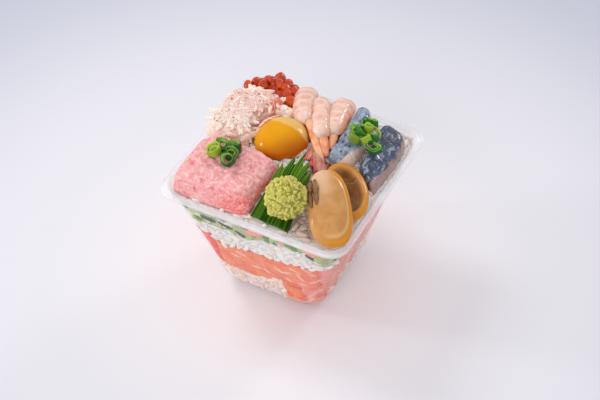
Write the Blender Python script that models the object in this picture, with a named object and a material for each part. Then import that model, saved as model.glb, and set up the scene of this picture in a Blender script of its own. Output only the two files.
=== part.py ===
# A clear square tapered cup packed with layers of rice, salmon and cucumber,
# heaped with raw seafood, an egg yolk, a leaf and a ball of wasabi.
# Lengths in this script are millimetres, and each mesh is stored in metres.
# The origin is the middle of the cup's underside, +Z is up, and -Y faces the front.

import math
import random

import bmesh
import bpy
from mathutils import Vector, noise

MM = 0.001
GAP = 0.3
REST = 0.55
LEAST_THICK = 1.8

# Cup: outside sizes, measured to the middle of each side.
RIM_HEIGHT = 69.0
FLANGE_HALF = 48.0
FLANGE_THICK = 0.8
FLANGE_LIP = 1.7
WALL = 0.8
BASE_HALF = 16.0
BASE_CORNER = 12.0
HEEL_RADIUS = 14.4
WALL_FOOT_CORNER = 11.0
STEP_HEIGHT = 63.5
STEP_HALF = 43.5
STEP_RISE = 1.0
BAND_FOOT_HALF = 44.6
BAND_TOP_HALF = 45.0
TOP_CORNER = 9.0
FLANGE_CORNER = 9.5
HEEL_STEPS = 5
CORNER_STEPS = 5
SIDE_POINTS = 4

# Layer surfaces: heights where they meet the front wall, as (x, z) pairs from left to right.
RICE_BASE_TOP = (
    (-30, 20.5), (-18, 17.3), (-8, 16.8), (1, 18.6),
    (9, 22.3), (15, 20.0), (21, 15.5), (32, 16.5),
)
SALMON_TOP = (
    (-34, 44.0), (-26, 41.2), (-19, 35.6), (-9, 38.4),
    (4, 39.4), (14, 40.4), (24, 42.0), (36, 46.0),
)
RICE_MIDDLE_TOP = (
    (-36, 49.4), (-25, 50.4), (-15, 50.8), (-7, 49.0),
    (6, 54.0), (15, 56.4), (24, 55.6), (37, 48.6),
)
CUCUMBER_TOP = ((-40, 65.6), (-22, 65.0), (-4, 63.4), (14, 62.6), (40, 61.8))
RICE_BASE_LEVEL = 18.0
SALMON_LEVEL = 40.5
RICE_MIDDLE_LEVEL = 51.5
CUCUMBER_LEVEL = 63.0
FRONT_FADE_FROM = -30.0
FRONT_FADE_TO = -12.0
WAVE_HEIGHT = 1.6
WAVE_LENGTH = 8.5
LAYER_RINGS = (0.5, 0.84)
RICE_DENT = 0.7
CUCUMBER_DENT = 0.9

# Bed: the rice under the toppings, domed from the wall to the middle.
BED_EDGE = 67.0
BED_RISE = 6.5
BED_HALF = 44.0

# Loose grains of rice: (x, y, turn in degrees) where they show near the rim and between the toppings.
GRAIN_LENGTH = 6.2
GRAIN_WIDTH = 2.7
GRAIN_RISE = 0.5
GRAINS = (
    (22.4, -40.6, 20), (27.4, -41.4, 165), (32.6, -41.8, 5),
    (24.6, -37.0, 110), (41.6, -33.0, 85), (42.0, -25.0, 95),
    (37.8, 40.0, 150), (31.0, 41.6, 5), (25.4, 41.6, 170),
    (40.6, 36.6, 130), (-13.6, 18.6, 120), (-14.8, 23.0, 60),
)

# Heaps on the bed: every outline is seen from above, and FOOT is the height of its edge.
FOOT = 1.2

# Minced tuna: a flat-topped wedge at the front left whose front face slopes to the rim.
TUNA_OUTLINE = (
    (-42.0, -39.0), (-37.5, -42.6), (-20.0, -43.0), (-6.0, -42.6), (-2.2, -40.0), (-1.4, -31.0),
    (-1.0, -22.0), (-1.6, -13.5), (-8.0, -10.4), (-17.0, -9.4),
    (-26.0, -8.6), (-36.0, -9.6), (-42.6, -15.0),
    (-43.0, -28.0),
)
TUNA_SHARES = (0.5, 0.78, 0.92, 1.0)
TUNA_TOP = 80.4
TUNA_DIP_RIGHT = 1.4
TUNA_DIP_LEFT = 1.6
TUNA_FRONT = -43.0
TUNA_SLOPE_LEFT = 13.0
TUNA_SLOPE_RIGHT = 18.0
TUNA_SHOULDER = 4.5

# Slices of spring onion: (x, y, rise over the surface, size, lean to +X, lean to +Y).
RING_RADIUS = 3.4
RING_WALL = 1.0
RING_LENGTH = 3.0
RING_SIDES = 7
TUNA_RINGS = (
    (-26.8, -19.2, 3.2, 1.05, 0.1, -0.3), (-22.0, -17.4, 3.0, 1.05, -0.2, 0.2),
    (-28.6, -24.2, 3.3, 1.0, -0.4, -0.2),
    (-20.8, -22.0, 3.3, 1.0, 0.5, -0.3), (-19.8, -26.8, 3.4, 0.95, -0.1, -0.7),
)
FISH_RINGS = (
    (33.4, 14.0, 2.6, 1.35, 0.1, -0.5), (28.2, 16.8, 2.7, 0.95, -0.4, 0.3),
    (24.2, 14.4, 2.6, 0.9, 0.5, 0.5),
    (22.6, 19.8, 2.4, 0.9, -0.3, -0.3), (25.8, 22.6, 2.6, 1.0, 0.3, 0.2), (30.6, 21.6, 2.8, 1.1, 0.2, -0.7),
    (27.4, 26.4, 2.4, 0.9, -0.2, 0.5),
)

# Crab meat: a shaggy heap at the back left, with shreds (x, y, turn in degrees) lying over it.
CRAB_OUTLINE = (
    (-42.8, -5.6), (-43.4, 6.0), (-43.2, 16.0), (-40.6, 23.6), (-33.0, 27.4), (-25.0, 27.6), (-18.0, 25.0),
    (-17.6, 19.8), (-22.4, 15.0), (-24.6, 8.0), (-24.2, 1.0), (-21.4, -4.4), (-26.0, -6.4), (-35.0, -7.4),
)
CRAB_SHARES = (0.5, 0.86, 1.0)
CRAB_TOP = 80.8
CRAB_SHOULDER = 4.5
CRAB_LEAN = (-2.4, 0.6)
CRAB_MIDDLE = (-35.0, 10.6)
CRAB_REACH = 12.0
CRAB_STRETCH = 0.7
SHREDS = (
    (-40.0, 3.0, 80), (-36.0, 0.6, 40), (-32.0, 4.0, 110),
    (-38.0, 11.0, 20), (-33.0, 13.0, 70), (-38.5, 18.0, 60),
    (-34.0, 19.0, 130), (-29.4, 17.4, 80), (-32.0, 22.0, 165), (-31.6, 3.6, 150),
)
SHRED_LENGTH = 13.0
SHRED_WIDTH = 2.6
SHRED_THICK = 1.5
SHRED_LIFT = 0.5
SHRED_DROOP = 1.6
SHRED_CLEAR = 2.4

# Salmon roe: beads heaped along a line in the back left corner.
ROE_RADIUS = 2.5
ROE_LINE = ((-38.6, 30.5), (-35.4, 34.0), (-30.5, 36.6), (-25.6, 37.0), (-22.2, 34.6), (-20.4, 31.0))
ROE_BED = 4.6
ROE_BEADS = 24
ROE_SPREAD = 3.6
ROE_WIDTHS = (2.0, 4.0, 6.0, 7.0, 8.0, 8.0, 6.0, 4.6, 2.0)
ROE_HEIGHTS = (3.0, 5.0, 6.6, 7.6, 8.0, 8.0, 7.0, 6.0, 3.0)
ROE_PEAK_X = -28.0
ROE_PEAK_RISE = 3.0
ROE_PEAK_WIDTH = 3.0

# Egg yolk: a soft dome resting on the rice.
YOLK_CENTRE = (-8.8, 4.8, 75.4)
YOLK_RADIUS = 12.8
YOLK_RISE = 8.4

# Sweet prawns: name, body (x, y, rise), widths at back and front, then tail and blades
# (x, y, height over the bed).
PRAWN_THICK = 11.0
PRAWN_RIB = 0.05
PRAWN_STEPS = 13
PRAWNS = (
    (
        "prawn_1",
        ((-13.6, 40.6, 0.0), (-11.8, 35.0, 0.4), (-9.0, 27.6, 0.4), (-5.2, 20.6, 0.0)),
        (11.0, 7.6),
        ((-4.6, 20.4, 4.7), (2.4, 13.5, 4.9), (8.6, 6.0, 3.8), (15.8, -1.4, 2.8)),
        (
            ((6.0, 9.4, 2.4), (7.6, 3.8, 2.0), (8.6, -2.2, 1.6)),
            ((7.8, 7.2, 2.6), (10.8, 1.8, 1.8), (12.6, -4.4, 1.4)),
        ),
    ),
    (
        "prawn_2",
        ((-3.2, 35.2, 0.0), (-1.2, 30.4, 0.4), (2.4, 22.6, 0.4), (6.3, 15.3, 0.0)),
        (7.6, 6.6),
        ((6.6, 15.8, 4.4), (9.8, 10.8, 4.2), (12.6, 6.8, 3.6), (15.2, 3.2, 2.8)),
        (),
    ),
    (
        "prawn_3",
        ((6.6, 41.2, 0.0), (7.2, 36.0, 0.2), (8.8, 28.6, 0.2), (11.0, 21.0, 0.0)),
        (10.4, 7.0),
        ((10.8, 22.2, 4.2), (12.4, 16.6, 4.2), (13.8, 12.2, 3.6), (14.8, 8.6, 2.8)),
        (),
    ),
)
TAIL_WIDTHS = (3.0, 3.6, 3.6, 3.0, 1.8)
TAIL_HEIGHTS = (3.2, 3.8, 3.2, 2.2, 1.2)
BLADE_WIDTHS = (2.0, 3.4, 3.8, 1.6)
BLADE_HEIGHTS = (1.0, 1.0, 0.9, 0.7)

# Silver-skinned fish: two slices, the left one lighter, lying on the rice at the right.
FISH_1_OUTLINE = (
    (14.2, 36.0), (14.8, 40.6), (17.6, 42.4), (20.6, 40.4), (24.0, 34.0), (26.6, 26.0), (28.0, 18.0),
    (28.4, 10.0), (26.6, 3.0), (21.0, 1.6), (17.2, 3.4), (17.2, 9.0), (15.4, 16.0), (14.6, 24.0),
)
FISH_2_OUTLINE = (
    (29.0, 35.0), (31.0, 37.8), (35.0, 37.4), (39.4, 35.4),
    (42.6, 31.0), (43.2, 22.0), (43.2, 11.0), (42.8, 3.0),
    (42.0, -2.6), (37.6, -0.6), (32.6, 3.4), (30.2, 8.0), (30.2, 15.0), (29.0, 25.0),
)
FISH_SHARES = (0.45, 0.8, 1.0)
FISH_FRONT = 6.0
FISH_1_BACK = 11.0
FISH_2_BACK = 9.0
FISH_LENGTH = 40.0
FISH_SHOULDER = 5.0

# Clams: two simmered clams, the front one lying over the cupped back one.
CLAM_FRONT_CENTRE = (32.8, -28.4, 78.0)
CLAM_FRONT_ALONG = (0.52, -0.80, -0.32)
CLAM_FRONT_UP = (0.26, -0.34, 0.90)
CLAM_FRONT_RADII = (19.4, 9.9, 4.8)
CLAM_BLUNT = 2.5
CLAM_WIDEN = 0.08
CLAM_THIN = 0.3
CLAM_BACK_CENTRE = (32.6, -11.4, 73.9)
CLAM_BACK_ALONG = (0.60, -0.78, -0.16)
CLAM_BACK_UP = (0.36, -0.40, 0.84)
CLAM_BACK_RADII = (16.4, 10.2, 6.4)
CLAM_LIP = 2.4
CLAM_HOLLOW = 6.4
CLAM_HOLLOW_FROM = 0.45
CLAM_HOLLOW_TO = 0.84
FOOT_FOLDS = ((22.6, -21.8, 78.6, 3.6), (24.0, -25.2, 77.6, 4.2), (25.6, -29.0, 76.4, 3.8))
FOLD_RADII = (0.5, 0.7, 0.8)

# Leaf: a cut green leaf that rises from the rim to pointed blades in front of the yolk.
LEAF_THICK = 0.6
LEAF_LEFT = ((-0.4, -41.6), (0.6, -19.6))
LEAF_RIGHT = ((19.6, -43.2), (15.4, -17.0))
LEAF_FRONT_Y = -42.4
LEAF_DEPTH = 24.0
LEAF_COLUMNS = 10
LEAF_ROWS = 5
LEAF_FOOT = 69.6
LEAF_RISE = 7.4
LEAF_WAVE = 0.5
BLADES = ((1.4, -13.4, 79.6), (4.8, -7.6, 80.4), (8.2, -3.6, 80.8), (12.2, -6.6, 79.4), (15.4, -11.0, 78.0))

# Wasabi: a crumbly ball on the leaf.
WASABI_CENTRE = (12.8, -33.4, 80.6)
WASABI_RADIUS = 9.9
WASABI_STRETCH = 1.04
WASABI_CRUMBLE = 0.09

NOISE_SCALE = 7.0
SEED = 11

COLOURS = {
    "clear_plastic": ((0.93, 0.95, 0.96, 0.25), 0.06),
    "rice": ((0.86, 0.83, 0.76, 1.0), 0.45),
    "salmon": ((0.86, 0.30, 0.16, 1.0), 0.35),
    "cucumber": ((0.33, 0.45, 0.16, 1.0), 0.4),
    "tuna": ((0.87, 0.42, 0.41, 1.0), 0.45),
    "spring_onion": ((0.12, 0.30, 0.04, 1.0), 0.3),
    "crab": ((0.90, 0.66, 0.56, 1.0), 0.45),
    "roe": ((0.78, 0.13, 0.02, 1.0), 0.12),
    "yolk": ((0.83, 0.42, 0.02, 1.0), 0.1),
    "prawn": ((0.88, 0.64, 0.53, 1.0), 0.3),
    "silver_fish": ((0.27, 0.34, 0.45, 1.0), 0.3),
    "clam": ((0.70, 0.38, 0.12, 1.0), 0.25),
    "leaf": ((0.04, 0.15, 0.01, 1.0), 0.3),
    "wasabi": ((0.60, 0.64, 0.20, 1.0), 0.7),
}


def clear_scene():
    for obj in list(bpy.data.objects):
        bpy.data.objects.remove(obj, do_unlink=True)


def make_materials():
    for name, (colour, roughness) in COLOURS.items():
        material = bpy.data.materials.new(name)
        material.use_nodes = True
        shader = material.node_tree.nodes["Principled BSDF"]
        shader.inputs["Base Color"].default_value = colour
        shader.inputs["Roughness"].default_value = roughness
        shader.inputs["Metallic"].default_value = 0.0
        shader.inputs["Alpha"].default_value = colour[3]
        material.diffuse_color = colour


def smooth_step(low, high, value):
    t = min(1.0, max(0.0, (value - low) / (high - low)))
    return t * t * (3.0 - 2.0 * t)


def between(pairs, x):
    """Height at x on a smooth line through the pairs, level beyond both ends."""
    if x <= pairs[0][0]:
        return pairs[0][1]
    for (x0, z0), (x1, z1) in zip(pairs[:-1], pairs[1:]):
        if x <= x1:
            return z0 + (z1 - z0) * smooth_step(x0, x1, x)
    return pairs[-1][1]


def lump(x, y, z, size=NOISE_SCALE):
    """Smooth noise from -1 to 1 whose bumps are about the size given."""
    return noise.noise(Vector((x + SEED, y - SEED, z)) / size)


def bed(x, y):
    u = min(1.0, abs(x) / BED_HALF)
    v = min(1.0, abs(y) / BED_HALF)
    return BED_EDGE + BED_RISE * (1.0 - u * u) * (1.0 - v * v)


def layer_surface(front, level, phase):
    """Height of a layer's top: the front line near the front wall, gentle waves behind it."""

    def height(x, y):
        wave = math.sin(x / WAVE_LENGTH + phase) * math.cos(y / WAVE_LENGTH + phase)
        inside = level + WAVE_HEIGHT * wave
        near = 1.0 - smooth_step(FRONT_FADE_FROM, FRONT_FADE_TO, y)
        return inside + (between(front, x) - inside) * near

    return height


def outer_profile():
    """(half, corner radius, height) up the outside, from the underside to the rim's top edge."""
    profile = []
    for step in range(HEEL_STEPS + 1):
        turn = math.radians(90.0 * step / HEEL_STEPS)
        out = math.sin(turn)
        profile.append((
            BASE_HALF + HEEL_RADIUS * out,
            BASE_CORNER + (WALL_FOOT_CORNER - BASE_CORNER) * out,
            HEEL_RADIUS * (1.0 - math.cos(turn)),
        ))
    profile.append((STEP_HALF, TOP_CORNER, STEP_HEIGHT))
    profile.append((BAND_FOOT_HALF, TOP_CORNER, STEP_HEIGHT + STEP_RISE))
    profile.append((BAND_TOP_HALF, TOP_CORNER, RIM_HEIGHT - FLANGE_THICK))
    profile.append((FLANGE_HALF - FLANGE_THICK, FLANGE_CORNER, RIM_HEIGHT - FLANGE_THICK))
    profile.append((FLANGE_HALF - FLANGE_THICK, FLANGE_CORNER, RIM_HEIGHT - FLANGE_LIP))
    profile.append((FLANGE_HALF, FLANGE_CORNER, RIM_HEIGHT - FLANGE_LIP))
    profile.append((FLANGE_HALF, FLANGE_CORNER, RIM_HEIGHT))
    return profile


def inner_profile():
    """(half, corner radius, height) up the inside, from the floor to the rim's inner edge."""
    profile = []
    reach = HEEL_RADIUS - WALL
    for step in range(HEEL_STEPS + 1):
        turn = math.radians(90.0 * step / HEEL_STEPS)
        out = math.sin(turn)
        profile.append((
            BASE_HALF + reach * out,
            BASE_CORNER + (WALL_FOOT_CORNER - WALL - BASE_CORNER) * out,
            HEEL_RADIUS - reach * math.cos(turn),
        ))
    profile.append((STEP_HALF - WALL, TOP_CORNER - WALL, STEP_HEIGHT))
    profile.append((BAND_FOOT_HALF - WALL, TOP_CORNER - WALL, STEP_HEIGHT + STEP_RISE))
    profile.append((BAND_TOP_HALF - WALL, TOP_CORNER - WALL, RIM_HEIGHT))
    return profile


def room(z):
    """Half width and corner radius free for food at a height inside the cup."""
    profile = inner_profile()[: HEEL_STEPS + 2]
    z = max(z, profile[0][2])
    for (h0, r0, z0), (h1, r1, z1) in zip(profile[:-1], profile[1:]):
        if z <= z1 or z1 == profile[-1][2]:
            t = (z - z0) / (z1 - z0)
            return h0 + (h1 - h0) * t - GAP, r0 + (r1 - r0) * t - GAP
    return None


def square_points(half, radius, side_points):
    """A rounded square, anticlockwise from the middle of the +X side's lower end."""
    points = []
    reach = half - radius
    corners = ((reach, -reach, -90.0), (reach, reach, 0.0), (-reach, reach, 90.0), (-reach, -reach, 180.0))
    for index, (cx, cy, start) in enumerate(corners):
        for step in range(CORNER_STEPS + 1):
            turn = math.radians(start + 90.0 * step / CORNER_STEPS)
            points.append((cx + radius * math.cos(turn), cy + radius * math.sin(turn)))
        nx, ny, turn = corners[(index + 1) % 4]
        nx += radius * math.cos(math.radians(turn))
        ny += radius * math.sin(math.radians(turn))
        px, py = points[-1]
        for step in range(1, side_points + 1):
            t = step / (side_points + 1)
            points.append((px + (nx - px) * t, py + (ny - py) * t))
    return points


def solid(name, points, faces, slot, target):
    """A closed body from points in millimetres, with its faces turned outwards."""
    mesh = bpy.data.meshes.new(name)
    mesh.from_pydata([Vector(p) * MM for p in points], [], faces)
    mesh.materials.append(bpy.data.materials[slot])
    work = bmesh.new()
    work.from_mesh(mesh)
    bmesh.ops.recalc_face_normals(work, faces=work.faces)
    work.to_mesh(mesh)
    work.free()
    obj = bpy.data.objects.new(name, mesh)
    target.objects.link(obj)
    return obj


def bridge(faces, lower, upper, count, turned=False):
    """Two triangles per step between two rings, given by their first indices."""
    for i in range(count):
        j = (i + 1) % count
        if turned:
            faces.append((lower + i, lower + j, upper + i))
            faces.append((lower + j, upper + j, upper + i))
        else:
            faces.append((lower + i, lower + j, upper + j))
            faces.append((lower + i, upper + j, upper + i))


def fan(faces, centre, ring, count):
    for i in range(count):
        faces.append((centre, ring + i, ring + (i + 1) % count))


def loft(name, rings, slot, target, ends=None, turn_from=None):
    """A skin over equal rings. The ends are points, or None for a flat cap. From one ring on, the
    triangles turn, so that the top of one layer is split as the underside of the next is."""
    count = len(rings[0])
    points = [point for ring in rings for point in ring]
    faces = []
    for index in range(len(rings) - 1):
        turned = turn_from is not None and index >= turn_from
        bridge(faces, index * count, (index + 1) * count, count, turned)
    last = (len(rings) - 1) * count
    for start, end in ((0, 0), (last, 1)):
        if ends is None:
            faces.append(tuple(range(start, start + count)))
        else:
            points.append(ends[end])
            fan(faces, len(points) - 1, start, count)
    return solid(name, points, faces, slot, target)


def make_cup(target):
    rings = []
    for half, radius, z in outer_profile() + inner_profile()[::-1]:
        rings.append([(x, y, z) for x, y in square_points(half, radius, 0)])
    return loft("cup", rings, "clear_plastic", target)


def edge_ring(surface, lift):
    """Points where a layer surface meets the room inside the cup."""
    half, radius = room(surface(0.0, 0.0))
    ring = [(x, y, surface(x, y) + lift) for x, y in square_points(half, radius, SIDE_POINTS)]
    for _ in range(4):
        settled = []
        for index, (x, y, z) in enumerate(ring):
            half, radius = room(z)
            x, y = square_points(half, radius, SIDE_POINTS)[index]
            settled.append((x, y, surface(x, y) + lift))
        ring = settled
    return ring


def make_layer(name, floor, roof, slot, rows, dent, target):
    """A layer that fills the cup between two surfaces, dented along its side where it is lumpy."""
    bottom = edge_ring(floor, GAP)
    top = edge_ring(roof, 0.0)
    count = len(bottom)
    rings = []
    for share in LAYER_RINGS:
        rings.append([(x * share, y * share, floor(x * share, y * share) + GAP) for x, y, _ in bottom])
    rings.append(bottom)
    for row in range(1, rows):
        ring = []
        for index in range(count):
            z = bottom[index][2] + (top[index][2] - bottom[index][2]) * row / rows
            half, radius = room(z)
            x, y = square_points(half, radius, SIDE_POINTS)[index]
            push = dent * max(0.0, 0.5 + lump(x * 2.0, y * 2.0, z * 2.0)) / half
            ring.append((x * (1.0 - push), y * (1.0 - push), z))
        rings.append(ring)
    rings.append(top)
    for share in LAYER_RINGS[::-1]:
        rings.append([(x * share, y * share, roof(x * share, y * share)) for x, y, _ in top])
    ends = ((0.0, 0.0, floor(0.0, 0.0) + GAP), (0.0, 0.0, roof(0.0, 0.0)))
    return loft(name, rings, slot, target, ends, len(rings) - 1 - len(LAYER_RINGS))


def curve(points, count, closed=False):
    """Points spaced evenly in turn along a smooth line through the given ones."""
    size = len(points)
    spans = size if closed else size - 1
    line = []
    for step in range(count):
        place = step * spans / (count if closed else count - 1)
        index = min(int(place), spans - 1)
        t = place - index
        picks = []
        for shift in (-1, 0, 1, 2):
            if closed:
                picks.append(Vector(points[(index + shift) % size]))
            else:
                picks.append(Vector(points[min(size - 1, max(0, index + shift))]))
        a, b, c, d = picks
        square = (2 * a - 5 * b + 4 * c - d) * t ** 2
        cube = (3 * b - a - 3 * c + d) * t ** 3
        line.append(0.5 * (2 * b + (c - a) * t + square + cube))
    return line


def make_mound(name, corners, count, shares, rise, slot, target, rough=0.5, lean=(0.0, 0.0)):
    """A heap on the bed: an outline seen from above, and a rise over the bed that depends on the
    place and on the distance in from the outline. The lean moves what is 10 mm up sideways."""
    outline = curve(corners, count, closed=True)
    centre = sum(outline, Vector((0.0, 0.0))) / count
    lean = Vector(lean) / 10.0
    lower = []
    upper = []
    for share in shares:
        low = []
        high = []
        for point in outline:
            place = centre + (point - centre) * share
            inward = (point - centre).length * (1.0 - share)
            base = bed(place.x, place.y) + REST
            bump = rough * lump(place.x, place.y, base) * min(1.0, inward / 3.0)
            height = rise(place.x, place.y, inward) + bump
            low.append((place.x, place.y, base))
            high.append((place.x + lean.x * height, place.y + lean.y * height, base + height))
        lower.append(low)
        upper.append(high)
    base = bed(centre.x, centre.y) + REST
    height = rise(centre.x, centre.y, min((point - centre).length for point in outline))
    peak = (centre.x + lean.x * height, centre.y + lean.y * height, base + height)
    ends = ((centre.x, centre.y, base), peak)
    return loft(name, lower + upper[::-1], slot, target, ends)


def rounded(inward, width):
    """0 at the outline to 1 at the given width in from it, like a quarter circle."""
    t = min(1.0, inward / width)
    return math.sqrt(1.0 - (1.0 - t) ** 2)


def frame_of(along, normal):
    """Axes along, across and up for a piece that lies tilted."""
    along = Vector(along).normalized()
    normal = Vector(normal)
    normal = (normal - along * normal.dot(along)).normalized()
    across = normal.cross(along)
    return along, across, normal


def make_blob(name, centre, axes, radii, segments, rings, slot, target, shape=None, floor=bed):
    """An ellipsoid on its own axes, shaped by a function of the unit direction.

    Its underside stays off the floor, and its top stays off its underside.
    """
    work = bmesh.new()
    bmesh.ops.create_uvsphere(work, u_segments=segments, v_segments=rings, radius=1.0)
    bmesh.ops.triangulate(work, faces=work.faces)
    centre = Vector(centre)
    for vertex in work.verts:
        unit = vertex.co.copy()
        local = Vector((unit.x * radii[0], unit.y * radii[1], unit.z * radii[2]))
        if shape:
            local = shape(unit, local)
        place = centre + axes[0] * local.x + axes[1] * local.y + axes[2] * local.z
        if floor:
            least = LEAST_THICK * max(0.0, unit.z)
            place.z = max(place.z, floor(place.x, place.y) + GAP + least)
        vertex.co = place * MM
    bmesh.ops.recalc_face_normals(work, faces=work.faces)
    mesh = bpy.data.meshes.new(name)
    work.to_mesh(mesh)
    work.free()
    mesh.materials.append(bpy.data.materials[slot])
    obj = bpy.data.objects.new(name, mesh)
    target.objects.link(obj)
    return obj


LEVEL = (Vector((1.0, 0.0, 0.0)), Vector((0.0, 1.0, 0.0)), Vector((0.0, 0.0, 1.0)))


def make_sweep(name, path, widths, heights, around, slot, target, lift=(0.0, 0.0, 1.0)):
    """A body swept along a line, with its own width and height at each point, closed at both ends."""
    rings = []
    steps = len(path)
    for index in range(steps):
        ahead = path[min(steps - 1, index + 1)] - path[max(0, index - 1)]
        along, across, normal = frame_of(ahead, lift)
        ring = []
        for step in range(around):
            turn = 2.0 * math.pi * step / around
            sideways = across * (widths[index] / 2 * math.cos(turn))
            upwards = normal * (heights[index] / 2 * math.sin(turn))
            ring.append(path[index] + sideways + upwards)
        rings.append(ring)
    ends = (path[0] + (path[0] - path[1]) * 0.3, path[-1] + (path[-1] - path[-2]) * 0.3)
    return loft(name, rings, slot, target, ends)


def make_ring(name, centre, axes, radius, wall, height, around, slot, target, squash=1.0):
    """A short slice of hollow stalk."""
    centre = Vector(centre)
    points = []
    for size, level in ((radius, -0.5), (radius, 0.5), (radius - wall, 0.5), (radius - wall, -0.5)):
        for step in range(around):
            turn = 2.0 * math.pi * step / around
            flat = axes[0] * (size * math.cos(turn)) + axes[1] * (size * squash * math.sin(turn))
            points.append(centre + flat + axes[2] * (height * level))
    faces = []
    for index in range(4):
        bridge(faces, index * around, (index + 1) % 4 * around, around)
    return solid(name, points, faces, slot, target)


def join(core, pieces):
    """Fuses the pieces to the core, and keeps the one body that this makes."""
    union = core.modifiers.new("fused", "BOOLEAN")
    union.operation = "UNION"
    union.solver = "EXACT"
    union.operand_type = "COLLECTION"
    union.collection = pieces
    graph = bpy.context.evaluated_depsgraph_get()
    mesh = bpy.data.meshes.new_from_object(core.evaluated_get(graph))
    core.modifiers.remove(union)
    slot = core.data.materials[0]
    core.data = mesh
    mesh.materials.clear()
    mesh.materials.append(slot)
    for obj in list(pieces.objects):
        bpy.data.objects.remove(obj, do_unlink=True)
    bpy.data.collections.remove(pieces)
    keep_largest(mesh)
    return core


def keep_largest(mesh):
    """Drops scraps and the walls of sealed hollows, and splits what is left into triangles."""
    work = bmesh.new()
    work.from_mesh(mesh)
    bmesh.ops.triangulate(work, faces=work.faces)
    left = set(work.faces)
    parts = []
    while left:
        part = [left.pop()]
        for face in part:
            for edge in face.edges:
                for other in edge.link_faces:
                    if other in left:
                        left.remove(other)
                        part.append(other)
        parts.append(part)
    parts.sort(key=lambda part: sum(face.calc_area() for face in part))
    for part in parts[:-1]:
        bmesh.ops.delete(work, geom=part, context="FACES")
    work.to_mesh(mesh)
    work.free()


def new_pieces():
    pieces = bpy.data.collections.new("pieces")
    bpy.context.scene.collection.children.link(pieces)
    return pieces


def cup_floor(x, y):
    return WALL


def tuna_top(x, y):
    right = TUNA_DIP_RIGHT * smooth_step(-12.0, 0.0, x)
    left = TUNA_DIP_LEFT * smooth_step(-30.0, -43.0, x)
    return TUNA_TOP - right - left


def tuna_rise(x, y, inward):
    height = tuna_top(x, y) - bed(x, y)
    slope = TUNA_SLOPE_LEFT + (TUNA_SLOPE_RIGHT - TUNA_SLOPE_LEFT) * smooth_step(-24.0, 0.0, x)
    front = rounded(max(0.0, y - TUNA_FRONT), slope)
    return FOOT + (height - FOOT) * rounded(inward, TUNA_SHOULDER) * (0.12 + 0.88 * front)


def make_onion_rings(name, places, floor, target):
    """Rings lying one against another, fused into one node."""
    pieces = new_pieces()
    core = None
    for index, (x, y, rise, size, lean_x, lean_y) in enumerate(places):
        axes = frame_of((1.0, 0.0, -lean_x), (lean_x, lean_y, 1.0))
        centre = (x, y, floor(x, y) + rise)
        home = target if core is None else pieces
        ring = make_ring(
            name if core is None else name + "_piece", centre, axes, RING_RADIUS * size, RING_WALL,
            RING_LENGTH, RING_SIDES, "spring_onion", home, 0.85 + 0.1 * (index % 3),
        )
        core = core or ring
    return join(core, pieces)


def crab_rise(x, y, inward):
    height = CRAB_TOP - bed(x, y)
    return FOOT + (height - FOOT) * rounded(inward, CRAB_SHOULDER)


def crab_top(x, y):
    far = math.hypot(x - CRAB_MIDDLE[0], (y - CRAB_MIDDLE[1]) * CRAB_STRETCH)
    height = crab_rise(x, y, max(0.0, CRAB_REACH - far))
    return bed(x, y) + GAP + height


def make_crab(target):
    """The heap with its shreds fused on."""
    crab = make_mound("crab_heap", CRAB_OUTLINE, 24, CRAB_SHARES, crab_rise, "crab", target, 1.1, CRAB_LEAN)
    pieces = new_pieces()
    widths = (SHRED_WIDTH * 0.6, SHRED_WIDTH, SHRED_WIDTH, SHRED_WIDTH * 0.5)
    for x, y, turn in SHREDS:
        along = Vector((math.cos(math.radians(turn)), math.sin(math.radians(turn)), 0.0))
        path = []
        for step in (-0.5, -0.17, 0.17, 0.5):
            place = Vector((x, y, 0.0)) + along * SHRED_LENGTH * step
            height = crab_top(place.x, place.y) + SHRED_LIFT - SHRED_DROOP * abs(step)
            place.z = max(height, bed(place.x, place.y) + SHRED_CLEAR)
            path.append(place)
        make_sweep("shred", path, widths, (SHRED_THICK,) * 4, 4, "crab", pieces)
    return join(crab, pieces)


def make_roe(dice, target):
    """A low core along the line, with the beads fused on."""
    places = curve([(x, y, 0.0) for x, y in ROE_LINE], ROE_BEADS)
    path = curve([(x, y, bed(x, y) + ROE_BED) for x, y in ROE_LINE], len(ROE_WIDTHS))
    roe = make_sweep("salmon_roe", path, ROE_WIDTHS, ROE_HEIGHTS, 8, "roe", target)
    pieces = new_pieces()
    for spot in places:
        side = dice.uniform(-ROE_SPREAD, ROE_SPREAD)
        place = spot + Vector((side * 0.5, side * 0.8, 0.0))
        crown = 2.4 if abs(side) > ROE_SPREAD / 2 else 4.2
        peak = ROE_PEAK_RISE * math.exp(-((place.x - ROE_PEAK_X) / ROE_PEAK_WIDTH) ** 2)
        place.z = bed(place.x, place.y) + ROE_BED + crown + peak - abs(side) * 0.4 + dice.uniform(-0.6, 0.4)
        size = ROE_RADIUS * dice.uniform(0.9, 1.1)
        make_blob("bead", place, LEVEL, (size, size, size), 6, 4, "roe", pieces)
    return join(roe, pieces)


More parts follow.
